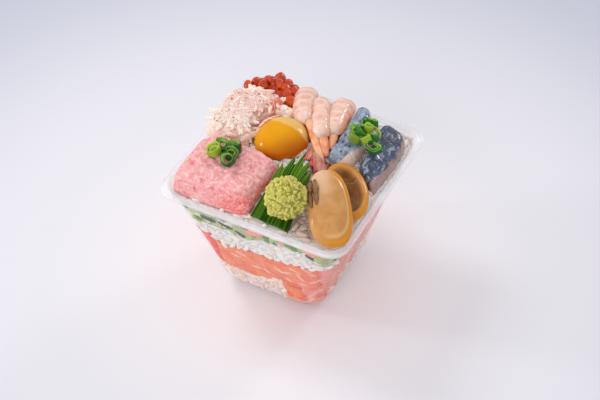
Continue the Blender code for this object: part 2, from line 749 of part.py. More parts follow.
def make_prawn(name, body, widths, tail, blades, target):
    """A flattened, ribbed body, with a thin tail joint and the blades of its fan fused on."""
    path = []
    sizes = []
    thick = []
    for index, (x, y, rise) in enumerate(curve(body, PRAWN_STEPS)):
        along = index / (PRAWN_STEPS - 1)
        taper = min(1.0, 0.55 + 2.4 * along, 0.62 + 2.4 * (1.0 - along))
        rib = 1.0 + PRAWN_RIB * math.cos(index * math.pi)
        high = PRAWN_THICK * taper * rib
        path.append(Vector((x, y, bed(x, y) + GAP + high / 2 + rise)))
        sizes.append((widths[0] + (widths[1] - widths[0]) * along) * taper * rib)
        thick.append(high)
    prawn = make_sweep(name, path, sizes, thick, 10, "prawn", target)
    pieces = new_pieces()
    joint = [Vector((x, y, bed(x, y) + rise)) for x, y, rise in curve(tail, len(TAIL_WIDTHS))]
    make_sweep("tail", joint, TAIL_WIDTHS, TAIL_HEIGHTS, 7, "prawn", pieces)
    for blade in blades:
        line = [Vector((x, y, bed(x, y) + rise)) for x, y, rise in curve(blade, len(BLADE_WIDTHS))]
        make_sweep("blade", line, BLADE_WIDTHS, BLADE_HEIGHTS, 6, "prawn", pieces)
    return join(prawn, pieces)


def fish_rise(back):
    """Thickness of a slice from its front end to its back end, with rounded edges."""

    def rise(x, y, inward):
        thick = FISH_FRONT + (back - FISH_FRONT) * smooth_step(0.0, FISH_LENGTH, y)
        return FOOT + (thick - FOOT) * rounded(inward, FISH_SHOULDER)

    return rise


def fish_top(x, y):
    return bed(x, y) + FOOT + FISH_FRONT + (FISH_1_BACK - FISH_FRONT) * smooth_step(0.0, FISH_LENGTH, y)


def blunt(unit, power):
    """How far a rounded-square outline lies outside the ellipse in this direction."""
    flat = math.hypot(unit.x, unit.y)
    if flat < 0.001:
        return 1.0
    c = abs(unit.x) / flat
    s = abs(unit.y) / flat
    return 1.0 + ((c ** power + s ** power) ** (-1.0 / power) - 1.0) * flat


def clam_front_shape(unit, local):
    """Blunt ends, wider to the front, with a fuller middle and a thinner rim."""
    out = blunt(unit, CLAM_BLUNT)
    thin = 1.0 - CLAM_THIN * math.hypot(unit.x, unit.y) ** 6
    return Vector((local.x * out, local.y * out * (1.0 + CLAM_WIDEN * unit.x), local.z * thin))


def clam_back_shape(unit, local):
    """A thick lip round a hollow that faces up and out."""
    if unit.z <= 0.0:
        return local
    edge = math.hypot(unit.x, unit.y)
    sunk = CLAM_HOLLOW * (1.0 - smooth_step(CLAM_HOLLOW_FROM, CLAM_HOLLOW_TO, edge))
    return Vector((local.x, local.y, CLAM_LIP * unit.z - sunk))


def make_clams(target):
    axes = frame_of(CLAM_FRONT_ALONG, CLAM_FRONT_UP)
    front = make_blob(
        "clam_front", CLAM_FRONT_CENTRE, axes, CLAM_FRONT_RADII, 20, 10, "clam", target, clam_front_shape,
    )
    pieces = new_pieces()
    for x, y, z, size in FOOT_FOLDS:
        make_blob("fold", (x, y, z), axes, [size * share for share in FOLD_RADII], 6, 5, "clam", pieces)
    join(front, pieces)
    axes = frame_of(CLAM_BACK_ALONG, CLAM_BACK_UP)
    make_blob("clam_back", CLAM_BACK_CENTRE, axes, CLAM_BACK_RADII, 22, 12, "clam", target, clam_back_shape)


def leaf_point(u, v):
    """A point of the leaf: u runs from its left edge to its right, v from the rim to the blades."""
    left = Vector(LEAF_LEFT[0]).lerp(Vector(LEAF_LEFT[1]), v)
    right = Vector(LEAF_RIGHT[0]).lerp(Vector(LEAF_RIGHT[1]), v)
    x, y = left.lerp(right, u)
    return Vector((x, y, LEAF_FOOT + LEAF_RISE * v + LEAF_WAVE * math.sin(u * 11.0) * (0.3 + v)))


def leaf_sheet(width, top_row, tips):
    """Triangles of one face of the leaf, with a blade on every two columns of its top row."""
    sheet = []
    for row in range(LEAF_ROWS):
        for column in range(LEAF_COLUMNS):
            a = row * width + column
            sheet.append((a, a + 1, a + width + 1))
            sheet.append((a, a + width + 1, a + width))
    for index in range(len(BLADES)):
        sheet.append((top_row + 2 * index, top_row + 2 * index + 1, tips + index))
        sheet.append((top_row + 2 * index + 1, top_row + 2 * index + 2, tips + index))
    return sheet


def make_leaf(target):
    points = []
    for lift in (Vector(), Vector((0.0, 0.0, LEAF_THICK))):
        for row in range(LEAF_ROWS + 1):
            for column in range(LEAF_COLUMNS + 1):
                points.append(leaf_point(column / LEAF_COLUMNS, row / LEAF_ROWS) + lift)
        points.extend(Vector(tip) + lift for tip in BLADES)
    width = LEAF_COLUMNS + 1
    top_row = LEAF_ROWS * width
    tips = top_row + width
    shift = tips + len(BLADES)
    sheet = leaf_sheet(width, top_row, tips)
    faces = list(sheet)
    faces.extend((c + shift, b + shift, a + shift) for a, b, c in sheet)
    border = list(range(width))
    border += [row * width + LEAF_COLUMNS for row in range(1, LEAF_ROWS + 1)]
    for index in range(len(BLADES) - 1, -1, -1):
        border.append(tips + index)
        border.append(top_row + 2 * index)
    border += [row * width for row in range(LEAF_ROWS - 1, 0, -1)]
    for index, start in enumerate(border):
        end = border[(index + 1) % len(border)]
        faces.append((start, start + shift, end + shift))
        faces.append((start, end + shift, end))
    return solid("leaf_divider", points, faces, "leaf", target)


def wasabi_shape(unit, local):
    return local * (1.0 + WASABI_CRUMBLE * lump(unit.x * 22.0, unit.y * 22.0, unit.z * 22.0))


def over_leaf(x, y):
    """Height of the leaf's upper face under the ball, clear of its waves."""
    v = min(1.0, max(0.0, (y - LEAF_FRONT_Y) / LEAF_DEPTH))
    return LEAF_FOOT + LEAF_RISE * v + LEAF_THICK + LEAF_WAVE


def add_grains(rice):
    pieces = new_pieces()
    for x, y, turn in GRAINS:
        along = Vector((math.cos(math.radians(turn)), math.sin(math.radians(turn)), 0.1))
        axes = frame_of(along, (0.0, 0.0, 1.0))
        radii = (GRAIN_LENGTH / 2, GRAIN_WIDTH / 2, GRAIN_WIDTH / 2)
        make_blob("grain", (x, y, bed(x, y) + GRAIN_RISE), axes, radii, 6, 4, "rice", pieces, floor=None)
    return join(rice, pieces)


clear_scene()
make_materials()
group = bpy.data.collections.new("seafood_rice_cup")
bpy.context.scene.collection.children.link(group)

make_cup(group)

rice_base_top = layer_surface(RICE_BASE_TOP, RICE_BASE_LEVEL, 0.4)
salmon_top = layer_surface(SALMON_TOP, SALMON_LEVEL, 1.7)
rice_middle_top = layer_surface(RICE_MIDDLE_TOP, RICE_MIDDLE_LEVEL, 2.9)
cucumber_top = layer_surface(CUCUMBER_TOP, CUCUMBER_LEVEL, 0.9)
make_layer("rice_base", cup_floor, rice_base_top, "rice", 4, RICE_DENT, group)
make_layer("salmon_layer", rice_base_top, salmon_top, "salmon", 3, 0.0, group)
make_layer("rice_middle", salmon_top, rice_middle_top, "rice", 3, RICE_DENT, group)
make_layer("cucumber_layer", rice_middle_top, cucumber_top, "cucumber", 3, CUCUMBER_DENT, group)
rice_top = make_layer("rice_top", cucumber_top, bed, "rice", 2, 0.0, group)
add_grains(rice_top)

make_mound("minced_tuna", TUNA_OUTLINE, 30, TUNA_SHARES, tuna_rise, "tuna", group, 0.9)
make_onion_rings("onion_rings_tuna", TUNA_RINGS, tuna_top, group)
make_crab(group)
make_roe(random.Random(SEED), group)
yolk_radii = (YOLK_RADIUS, YOLK_RADIUS, YOLK_RISE)
make_blob("egg_yolk", YOLK_CENTRE, LEVEL, yolk_radii, 20, 10, "yolk", group)
for prawn_name, body, widths, tail, blades in PRAWNS:
    make_prawn(prawn_name, body, widths, tail, blades, group)
for fish_name, outline, back in (
    ("fish_slice_1", FISH_1_OUTLINE, FISH_1_BACK),
    ("fish_slice_2", FISH_2_OUTLINE, FISH_2_BACK),
):
    make_mound(fish_name, outline, 22, FISH_SHARES, fish_rise(back), "silver_fish", group, 0.4)
make_onion_rings("onion_rings_fish", FISH_RINGS, fish_top, group)
make_clams(group)
make_leaf(group)
wasabi_radii = (WASABI_RADIUS, WASABI_RADIUS, WASABI_RADIUS * WASABI_STRETCH)
make_blob(
    "wasabi_ball", WASABI_CENTRE, LEVEL, wasabi_radii, 20, 13, "wasabi", group,
    wasabi_shape, over_leaf,
)
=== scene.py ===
# %% [markdown]
# # A clear cup of layered seafood rice
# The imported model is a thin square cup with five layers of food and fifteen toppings. It is loaded
# first and never moved. Each step below replaces one or more of its plain solids with pieces that
# have the real surface: grains, shreds, beads, slices and leaves, all as meshes. Lengths are worked
# in millimetres, because food is easier to think of that way, and become metres in one place.

# %% Load the frame
import itertools
import math

import bmesh
import bpy
import numpy as np
from mathutils import Matrix, Vector
from mathutils.bvhtree import BVHTree


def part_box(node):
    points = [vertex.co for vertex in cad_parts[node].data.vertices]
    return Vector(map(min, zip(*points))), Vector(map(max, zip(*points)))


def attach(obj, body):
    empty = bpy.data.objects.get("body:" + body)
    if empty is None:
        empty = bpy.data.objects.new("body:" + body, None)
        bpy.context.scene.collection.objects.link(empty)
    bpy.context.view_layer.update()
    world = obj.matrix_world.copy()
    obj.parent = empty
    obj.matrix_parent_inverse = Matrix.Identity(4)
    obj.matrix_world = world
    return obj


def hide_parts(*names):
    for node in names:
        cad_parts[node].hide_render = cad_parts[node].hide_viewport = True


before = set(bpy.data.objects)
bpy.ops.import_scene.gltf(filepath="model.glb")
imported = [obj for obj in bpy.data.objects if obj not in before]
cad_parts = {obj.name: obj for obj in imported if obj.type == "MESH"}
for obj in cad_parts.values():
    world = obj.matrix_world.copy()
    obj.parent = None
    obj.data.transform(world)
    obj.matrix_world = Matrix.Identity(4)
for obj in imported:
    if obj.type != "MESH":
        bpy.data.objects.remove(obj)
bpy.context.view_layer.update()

MM = 0.001
random_draw = np.random.default_rng(11)
print("nodes in the frame:", len(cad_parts))

# %% [markdown]
# ## Tools for shapes
# Food is uneven everywhere, so nearly every piece is a smooth base form pushed about by noise.
# A noise that works on whole arrays of points keeps the script quick. The loft makes a closed skin
# over rings of points, and the scatter copies one small shape many times into a single mesh, so
# that hundreds of grains stay one piece.


# %% Noise, steps and lines
def hashed(cells, seed):
    mixed = cells[:, 0] * 73856093 ^ cells[:, 1] * 19349663 ^ cells[:, 2] * 83492791 ^ seed * 26544357
    mixed = (mixed ^ (mixed >> 13)) * 1274126177 & 0x7FFFFFFF
    return ((mixed ^ (mixed >> 15)) & 0xFFFFFF) / 0x7FFFFF - 1.0


def noise_at(points, size, seed=0):
    """Smooth noise from -1 to 1 at each point, with bumps of about the size given."""
    places = np.asarray(points, float) / size
    cell = np.floor(places).astype(np.int64)
    part = places - cell
    part = part * part * (3.0 - 2.0 * part)
    total = np.zeros(len(places))
    for corner in itertools.product((0, 1), repeat=3):
        pick = np.array(corner)
        total += np.where(pick == 1, part, 1.0 - part).prod(axis=1) * hashed(cell + pick, seed)
    return total


def rough_noise(points, size, seed=0, layers=3):
    return sum(noise_at(points, size / 2 ** k, seed + k) / 2 ** k for k in range(layers))


def wander(points, size, seeds):
    """A different noise along each axis, as one offset for each point."""
    return np.column_stack([noise_at(points, size, seed) for seed in seeds])


def smooth_step(low, high, value):
    t = np.clip((np.asarray(value, float) - low) / (high - low), 0.0, 1.0)
    return t * t * (3.0 - 2.0 * t)


def rounded(inward, width):
    """0 at an edge to 1 at the given width in from it, like a quarter circle."""
    return np.sqrt(1.0 - (1.0 - np.clip(inward / width, 0.0, 1.0)) ** 2)


def smooth_line(points, count, closed=False):
    """Evenly counted points on a smooth line through the given ones."""
    points = np.asarray(points, float)
    size = len(points)
    place = np.linspace(0.0, size if closed else size - 1, count, endpoint=not closed)
    index = np.minimum(place.astype(int), (size if closed else size - 1) - 1)
    t = (place - index)[:, None]
    picks = [(index + k) % size if closed else np.clip(index + k, 0, size - 1) for k in (-1, 0, 1, 2)]
    a, b, c, d = (points[pick] for pick in picks)
    square = (2 * a - 5 * b + 4 * c - d) * t ** 2
    cube = (3 * b - a - 3 * c + d) * t ** 3
    return 0.5 * (2 * b + (c - a) * t + square + cube)


def unit(vectors):
    vectors = np.asarray(vectors, float)
    return vectors / np.linalg.norm(vectors, axis=-1, keepdims=True)


print("noise at three points:", noise_at([[0, 0, 0], [1.5, 2, 3], [9, 9, 9]], 2.0).round(2))


# %% Lofts, sweeps, copies and joins
def loft(rings):
    """Points and faces of a closed skin over equal rings, each end closed on a middle point."""
    rings = np.asarray(rings, float)
    rows, count = rings.shape[:2]
    here = np.arange(count)
    after = (here + 1) % count
    faces = []
    for row in range(rows - 1):
        low, high = row * count, (row + 1) * count
        faces += np.column_stack([low + here, low + after, high + after, high + here]).tolist()
    low, high = rows * count, rows * count + 1
    last = (rows - 1) * count
    faces += np.column_stack([np.full(count, low), after, here]).tolist()
    faces += np.column_stack([np.full(count, high), last + here, last + after]).tolist()
    points = np.vstack([rings.reshape(-1, 3), rings[0].mean(axis=0), rings[-1].mean(axis=0)])
    return points, faces


def sweep(path, widths, heights, around, lift=(0.0, 0.0, 1.0)):
    """A closed body along a line, with its own width and height at each point."""
    path = np.asarray(path, float)
    ahead = unit(np.gradient(path, axis=0))
    up = unit(np.asarray(lift, float) - ahead * (ahead @ np.asarray(lift, float))[:, None])
    across = np.cross(up, ahead)
    turn = np.linspace(0.0, 2.0 * np.pi, around, endpoint=False)
    side = across[:, None] * (np.asarray(widths)[:, None, None] / 2) * np.cos(turn)[None, :, None]
    rise = up[:, None] * (np.asarray(heights)[:, None, None] / 2) * np.sin(turn)[None, :, None]
    return loft(path[:, None] + side + rise)


def ball(level):
    """Points and triangles of a ball of radius 1."""
    work = bmesh.new()
    bmesh.ops.create_icosphere(work, subdivisions=level, radius=1.0)
    points = np.array([vertex.co[:] for vertex in work.verts])
    faces = np.array([[vertex.index for vertex in face.verts] for face in work.faces])
    work.free()
    return points, faces


def scatter(shape, faces, centres, axes, sizes):
    """Copies of one shape: each has a centre, three axes (as rows) and three half sizes."""
    centres, axes, sizes = (np.asarray(part, float) for part in (centres, axes, sizes))
    local = shape[None] * sizes[:, None, :]
    placed = np.einsum("nvk,nkc->nvc", local, axes) + centres[:, None]
    shifted = faces[None] + (np.arange(len(centres)) * len(shape))[:, None, None]
    return placed.reshape(-1, 3), shifted.reshape(-1, faces.shape[1]).tolist()


def joined(*parts):
    """Several (points, faces) as one."""
    points = []
    faces = []
    start = 0
    for some_points, some_faces in parts:
        points.append(np.asarray(some_points))
        faces += [[index + start for index in face] for face in some_faces]
        start += len(some_points)
    return np.vstack(points), faces


def axes_from(along, up):
    """Three axes as rows (along, across, up) for arrays of directions."""
    along = unit(along)
    up = np.asarray(up, float)
    up = unit(up - along * np.sum(along * up, axis=-1, keepdims=True))
    return np.stack([along, np.cross(up, along), up], axis=-2)


def dress(name, points, faces, material, slot, nodes, **masks):
    """Makes the piece, with a mask on its points for each extra value, and lets it stand for nodes."""
    mesh = bpy.data.meshes.new(name)
    mesh.from_pydata((np.asarray(points) * MM).tolist(), [], faces)
    for key, values in masks.items():
        layer = mesh.attributes.new(key, "FLOAT", "POINT")
        layer.data.foreach_set("value", np.asarray(values, np.float32))
    work = bmesh.new()
    work.from_mesh(mesh)
    bmesh.ops.recalc_face_normals(work, faces=work.faces)
    work.to_mesh(mesh)
    work.free()
    mesh.shade_smooth()
    mesh.materials.append(material)
    piece = bpy.data.objects.new(name, mesh)
    bpy.context.scene.collection.objects.link(piece)
    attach(piece, "root")
    if nodes:
        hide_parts(*nodes)
    triangles = sum(len(face) - 2 for face in faces)
    print(f"{name}: {triangles} triangles")
    return piece


def spread(values, repeat):
    """One value for each copy, repeated for each of its points."""
    return np.repeat(np.asarray(values, float), repeat)


# %% [markdown]
# ## Tools for finishes
# Raw food looks right when three things vary at once: its colour, how wet it is, and its fine
# relief. Each of them is a node group, so that every material uses the same recipe with its own
# numbers. All of them read the object's own coordinates in millimetres, so that the grain has its
# real size on every piece and needs no unwrapping.


# %% Colour and node helpers
def paint(code):
    """A colour as the shader wants it, from its usual six-digit code."""
    shown = [int(code[i:i + 2], 16) / 255 for i in (0, 2, 4)]
    linear = [part / 12.92 if part <= 0.04045 else ((part + 0.055) / 1.055) ** 2.4 for part in shown]
    return (*linear, 1.0)


def new_group(name, inputs, outputs):
    """An empty node group whose sockets are (name, kind, value)."""
    group = bpy.data.node_groups.new(name, "ShaderNodeTree")
    for label, kind, value in inputs:
        socket = group.interface.new_socket(label, in_out="INPUT", socket_type=kind)
        socket.default_value = value
    for label, kind in outputs:
        group.interface.new_socket(label, in_out="OUTPUT", socket_type=kind)
    start = group.nodes.new("NodeGroupInput")
    end = group.nodes.new("NodeGroupOutput")
    return group, start, end


def math_node(tree, operation, first, second=None, clamp=False):
    node = tree.nodes.new("ShaderNodeMath")
    node.operation = operation
    node.use_clamp = clamp
    for index, value in enumerate((first, second)):
        if value is None:
            continue
        if hasattr(value, "is_linked"):
            tree.links.new(value, node.inputs[index])
        else:
            node.inputs[index].default_value = value
    return node.outputs[0]


def step_node(tree, value, low, high):
    """0 under low, 1 over high, smooth between."""
    node = tree.nodes.new("ShaderNodeMapRange")
    node.interpolation_type = "SMOOTHSTEP"
    for index, part in enumerate((value, low, high)):
        if hasattr(part, "is_linked"):
            tree.links.new(part, node.inputs[index])
        else:
            node.inputs[index].default_value = part
    return node.outputs[0]


def mix_node(tree, share, first, second):
    """Two colours mixed by a share from 0 to 1."""
    node = tree.nodes.new("ShaderNodeMix")
    node.data_type = "RGBA"
    for socket, part in ((node.inputs[0], share), (node.inputs[6], first), (node.inputs[7], second)):
        if hasattr(part, "is_linked"):
            tree.links.new(part, socket)
        else:
            socket.default_value = part
    return node.outputs[2]


def place_node(tree, stretch=(1.0, 1.0, 1.0), turn=(0.0, 0.0, 0.0)):
    """The object's own coordinates in millimetres, stretched and turned."""
    coordinates = tree.nodes.new("ShaderNodeTexCoord")
    mapping = tree.nodes.new("ShaderNodeMapping")
    mapping.inputs["Scale"].default_value = [part / MM for part in stretch]
    mapping.inputs["Rotation"].default_value = [math.radians(part) for part in turn]
    tree.links.new(coordinates.outputs["Object"], mapping.inputs["Vector"])
    return mapping.outputs[0]


def noise_node(tree, place, size, detail=3.0, distortion=0.0):
    """Noise whose spots are about the size given in millimetres."""
    node = tree.nodes.new("ShaderNodeTexNoise")
    tree.links.new(place, node.inputs["Vector"])
    if hasattr(size, "is_linked"):
        tree.links.new(math_node(tree, "DIVIDE", 1.0, size), node.inputs["Scale"])
    else:
        node.inputs["Scale"].default_value = 1.0 / size
    node.inputs["Detail"].default_value = detail
    node.inputs["Distortion"].default_value = distortion
    return node.outputs[0]


# %% Shared groups
COLOUR, NUMBER = "NodeSocketColor", "NodeSocketFloat"

mottle, start, end = new_group(
    "mottle",
    [("Light", COLOUR, (0.8, 0.8, 0.8, 1)), ("Dark", COLOUR, (0.4, 0.4, 0.4, 1)), ("Spot size", NUMBER, 4.0),
     ("Amount", NUMBER, 0.6)],
    [("Color", COLOUR), ("Mask", NUMBER)],
)
spots = noise_node(mottle, place_node(mottle), start.outputs["Spot size"], 4.0, 0.6)
mask = math_node(mottle, "MULTIPLY", step_node(mottle, spots, 0.34, 0.66), start.outputs["Amount"])
mottle.links.new(mask, end.inputs["Mask"])
mottle.links.new(mix_node(mottle, mask, start.outputs["Light"], start.outputs["Dark"]), end.inputs["Color"])

moist, start, end = new_group(
    "moist film",
    [("Wet", NUMBER, 0.15), ("Dry", NUMBER, 0.5), ("Patch size", NUMBER, 3.0)],
    [("Roughness", NUMBER)],
)
patchy = noise_node(moist, place_node(moist), start.outputs["Patch size"], 2.0)
patches = step_node(moist, patchy, 0.35, 0.65)
spread_between = math_node(moist, "SUBTRACT", start.outputs["Dry"], start.outputs["Wet"])
lifted = math_node(moist, "MULTIPLY", patches, spread_between)
moist.links.new(math_node(moist, "ADD", lifted, start.outputs["Wet"]), end.inputs["Roughness"])

relief, start, end = new_group(
    "fine relief",
    [("Size", NUMBER, 0.8), ("Coarse share", NUMBER, 0.5)],
    [("Height", NUMBER)],
)
fine = noise_node(relief, place_node(relief), start.outputs["Size"], 3.0)
coarse_size = math_node(relief, "MULTIPLY", start.outputs["Size"], 3.5)
coarse = noise_node(relief, place_node(relief), coarse_size, 2.0)
weighted = math_node(relief, "MULTIPLY", coarse, start.outputs["Coarse share"])
relief.links.new(math_node(relief, "ADD", fine, weighted), end.inputs["Height"])
print("shared groups:", [group.name for group in bpy.data.node_groups])


# %% The food material
def use_group(tree, group, **values):
    node = tree.nodes.new("ShaderNodeGroup")
    node.node_tree = group
    for label, value in values.items():
        socket = node.inputs[label.replace("_", " ")]
        if hasattr(value, "is_linked"):
            tree.links.new(value, socket)
        else:
            socket.default_value = value
    return node


def mask_of(tree, name):
    """A mask that the mesh carries on its points."""
    node = tree.nodes.new("ShaderNodeAttribute")
    node.attribute_name = name
    return node.outputs["Fac"]


def food(name, light, dark, spot=4.0, amount=0.6, wet=0.15, dry=0.45, patch=3.0, grain=0.8, depth=0.12,
         coat=0.0, inner=0.25, glow="ff6040", reach=2.0, shine=0.3):
    """A moist, slightly see-through finish. Returns the material, its shader and its colour so far."""
    material = bpy.data.materials.new(name)
    material.use_nodes = True
    tree = material.node_tree
    shader = tree.nodes["Principled BSDF"]
    colour = use_group(tree, mottle, Light=paint(light), Dark=paint(dark), Spot_size=spot, Amount=amount)
    tree.links.new(colour.outputs["Color"], shader.inputs["Base Color"])
    film = use_group(tree, moist, Wet=wet, Dry=dry, Patch_size=patch)
    tree.links.new(film.outputs[0], shader.inputs["Roughness"])
    surface = use_group(tree, relief, Size=grain)
    bump = tree.nodes.new("ShaderNodeBump")
    bump.inputs["Strength"].default_value = 1.0
    bump.inputs["Distance"].default_value = depth * MM
    tree.links.new(surface.outputs[0], bump.inputs["Height"])
    tree.links.new(bump.outputs[0], shader.inputs["Normal"])
    shader.inputs["Subsurface Weight"].default_value = inner
    shader.inputs["Subsurface Radius"].default_value = [0.3 + 0.7 * part for part in paint(glow)[:3]]
    shader.inputs["Subsurface Scale"].default_value = reach * MM
    shader.inputs["Coat Weight"].default_value = coat
    shader.inputs["Coat Roughness"].default_value = 0.05
    shader.inputs["Specular IOR Level"].default_value = shine
    return material, tree, shader, colour.outputs["Color"]


def tint(tree, shader, colour, share, code, strength=1.0):
    """Lays one more colour over what the shader has so far, and returns the new result."""
    if strength != 1.0:
        share = math_node(tree, "MULTIPLY", share, strength)
    result = mix_node(tree, share, colour, paint(code))
    tree.links.new(result, shader.inputs["Base Color"])
    return result


# %% [markdown]
# ## Camera, light and floor
# The camera stands where the photo was taken from: high in front of the cup's right corner, with a
# long lens. The light is a studio's: a bright, even room, a strong lamp at the left that makes the
# soft shadow at the right, and a wide one in front that lights the near wall. Both are kept out of
# reflections, because two big pale squares on every wet skin would look wrong. A small lamp low at
# the left and one behind give the sharp highlights instead. The floor's colour carries painted light:
# it is painted palest round the cup and greyer far from it, as a pool of light and its falloff. The
# colours are shown as they are, with no film look, so that white stays white.

# %% Camera
LENS = 96.0
SENSOR = 36.0
AZIMUTH = math.radians(27.5)
ELEVATION = math.radians(44.5)
DISTANCE = 772.0
MIDDLE = Vector((0.0, 0.0, 35.0))
AIM_RIGHT, AIM_UP = 2.8, 6.1

backward = Vector((
    math.sin(AZIMUTH) * math.cos(ELEVATION), -math.cos(AZIMUTH) * math.cos(ELEVATION), math.sin(ELEVATION),
))
rightward = Vector((math.cos(AZIMUTH), math.sin(AZIMUTH), 0.0))
upward = backward.cross(rightward)
lens = bpy.data.cameras.new("camera")
lens.lens = LENS
lens.sensor_width = SENSOR
lens.clip_start = 0.01
camera = bpy.data.objects.new("camera", lens)
bpy.context.scene.collection.objects.link(camera)
target = MIDDLE + rightward * AIM_RIGHT + upward * AIM_UP
turned = Matrix((rightward, upward, backward)).transposed().to_4x4()
camera.matrix_world = Matrix.Translation((target + backward * DISTANCE) * MM) @ turned
bpy.context.scene.camera = camera
print("camera at", [round(part, 4) for part in camera.matrix_world.translation])

# %% Light and floor
ROOM_COLOUR, ROOM_STRENGTH = (0.97, 0.97, 1.0, 1.0), 0.74
world = bpy.data.worlds.new("studio")
bpy.context.scene.world = world
world.use_nodes = True
world.node_tree.nodes["Background"].inputs["Color"].default_value = ROOM_COLOUR
world.node_tree.nodes["Background"].inputs["Strength"].default_value = ROOM_STRENGTH


def lamp(name, place, size, power):
    """A square soft lamp that shines at the cup, its place in metres."""
    light = bpy.data.lights.new(name, "AREA")
    light.size = size
    light.energy = power
    obj = bpy.data.objects.new(name, light)
    bpy.context.scene.collection.objects.link(obj)
    obj.location = place
    obj.rotation_euler = (MIDDLE * MM - Vector(place)).to_track_quat("-Z", "Y").to_euler()
    return obj


lamp("left lamp", (-1.05, 0.2, 1.35), 0.5, 7.0).visible_glossy = False
lamp("window lamp", (-0.85, -0.35, 0.42), 0.16, 1.5)
lamp("back lamp", (0.3, 1.0, 0.5), 0.26, 2.2)
lamp("front lamp", (0.1, -1.1, 0.55), 0.8, 4.6).visible_glossy = False

print("lamps:", [light.name for light in bpy.data.lights])

scene = bpy.context.scene
scene.view_settings.view_transform = "Standard"
scene.view_settings.look = "None"

FLOOR_HALF = 2.0
floor_mesh = bpy.data.meshes.new("floor")
corners = [(FLOOR_HALF * x, FLOOR_HALF * y, 0.0) for x, y in ((-1, -1), (1, -1), (1, 1), (-1, 1))]
floor_mesh.from_pydata(corners, [], [(0, 1, 2, 3)])
floor = bpy.data.objects.new("floor", floor_mesh)
bpy.context.scene.collection.objects.link(floor)
paper = bpy.data.materials.new("floor paper")
paper.use_nodes = True
tree = paper.node_tree
shader = tree.nodes["Principled BSDF"]
split = tree.nodes.new("ShaderNodeSeparateXYZ")
tree.links.new(place_node(tree), split.inputs[0])
squares = [math_node(tree, "POWER", split.outputs[axis], 2.0) for axis in ("X", "Y")]
from_cup = math_node(tree, "SQRT", math_node(tree, "ADD", *squares))
# Painted pool of light and falloff: the floor is palest round the cup and greyer far from it.
painted_pool_of_light = mix_node(tree, step_node(tree, from_cup, 50.0, 140.0), paint("ebe8ec"), paint("dddce2"))
painted_falloff = step_node(tree, from_cup, 130.0, 300.0)
tree.links.new(mix_node(tree, painted_falloff, painted_pool_of_light, paint("b8bbc8")), shader.inputs["Base Color"])
shader.inputs["Roughness"].default_value = 0.9
floor_mesh.materials.append(paper)

# %% [markdown]
# ## The cup
# A deep square cup is drawn from one thin clear sheet. Its wall leans out, rounds into the foot,
# and has a small step under the band that stiffens the rim. The flange carries a low bead and ends
# in a short turned-down lip. One closed profile is carried round a rounded square, so wall, step,
# bead and lip all come from one loft. Clear plastic shows what is behind it: it is nearly invisible
# face on and turns pale and glossy where it is seen edge on, so its alpha follows the angle.

# %% Cup sizes
_, CUP_HIGH = (np.array(corner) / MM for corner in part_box("cup"))
RIM_HEIGHT = CUP_HIGH[2]
FLANGE_HALF = CUP_HIGH[0]
FLANGE_THICK = 0.8
FLANGE_LIP = 1.7
WALL = 0.8
BASE_HALF, BASE_CORNER = 16.0, 12.0
HEEL_RADIUS = 14.4
WALL_FOOT_CORNER = 11.0
STEP_HEIGHT, STEP_RISE = 63.5, 1.0
STEP_HALF, BAND_FOOT_HALF, BAND_TOP_HALF = 43.5, 44.6, 45.0
TOP_CORNER, FLANGE_CORNER = 9.0, 9.5
CORNER_SHARE = 0.2
AROUND = 288


def square(s, half, radius):
    """Points on rounded squares. s runs from 0 to 1 anticlockwise, from the front right corner."""
    s, half, radius = np.broadcast_arrays(np.asarray(s, float), half, radius)
    quarter = (s % 1.0) * 4.0
    side = np.floor(quarter).astype(int) % 4
    t = quarter - np.floor(quarter)
    signs = np.array([(1, -1), (1, 1), (-1, 1), (-1, -1)], float)
    start_turn = np.radians(np.array([-90.0, 0.0, 90.0, 180.0])[side])
    reach = (half - radius)[:, None]
    turn = start_turn + np.radians(90.0) * np.clip(t / CORNER_SHARE, 0.0, 1.0)
    arc = signs[side] * reach + radius[:, None] * np.column_stack([np.cos(turn), np.sin(turn)])
    far = start_turn + np.radians(90.0)
    far_arc = signs[(side + 1) % 4] * reach + radius[:, None] * np.column_stack([np.cos(far), np.sin(far)])
    along = np.clip((t - CORNER_SHARE) / (1.0 - CORNER_SHARE), 0.0, 1.0)[:, None]
    return arc + (far_arc - arc) * along


def inner_wall(z):
    """Half width and corner radius of the cup's inner wall at heights z."""
    z = np.asarray(z, float)
    reach = HEEL_RADIUS - WALL
    out = np.sqrt(np.clip(1.0 - ((HEEL_RADIUS - z) / reach) ** 2, 0.0, 1.0))
    out = np.where(z < WALL, 0.0, out)
    foot = BASE_HALF + reach * out
    foot_corner = BASE_CORNER + (WALL_FOOT_CORNER - WALL - BASE_CORNER) * out
    up = np.clip((z - HEEL_RADIUS) / (STEP_HEIGHT - HEEL_RADIUS), 0.0, 1.0)
    straight = BASE_HALF + reach + (STEP_HALF - WALL - BASE_HALF - reach) * up
    straight_corner = WALL_FOOT_CORNER - WALL + (TOP_CORNER - WALL_FOOT_CORNER) * up
    band = smooth_step(STEP_HEIGHT, STEP_HEIGHT + STEP_RISE, z) * (BAND_FOOT_HALF - STEP_HALF)
    low = z < HEEL_RADIUS
    return np.where(low, foot, straight + band), np.where(low, foot_corner, straight_corner)


def wall_point(s, z, inset=0.0):
    """Points at the cup's inner wall, or that far in from it."""
    s, z, inset = np.broadcast_arrays(np.asarray(s, float), z, inset)
    half, radius = inner_wall(z)
    return np.column_stack([square(s, half - inset, np.maximum(radius - inset, 1.0)), z])


ring_s = np.arange(AROUND) / AROUND
print("inner half width at 20, 40 and 60 mm:", inner_wall([20.0, 40.0, 60.0])[0].round(1))

# %% Cup shape
BEAD_RISE = 0.55
LIP_ROUND = 0.35
HEEL_STEPS = 12
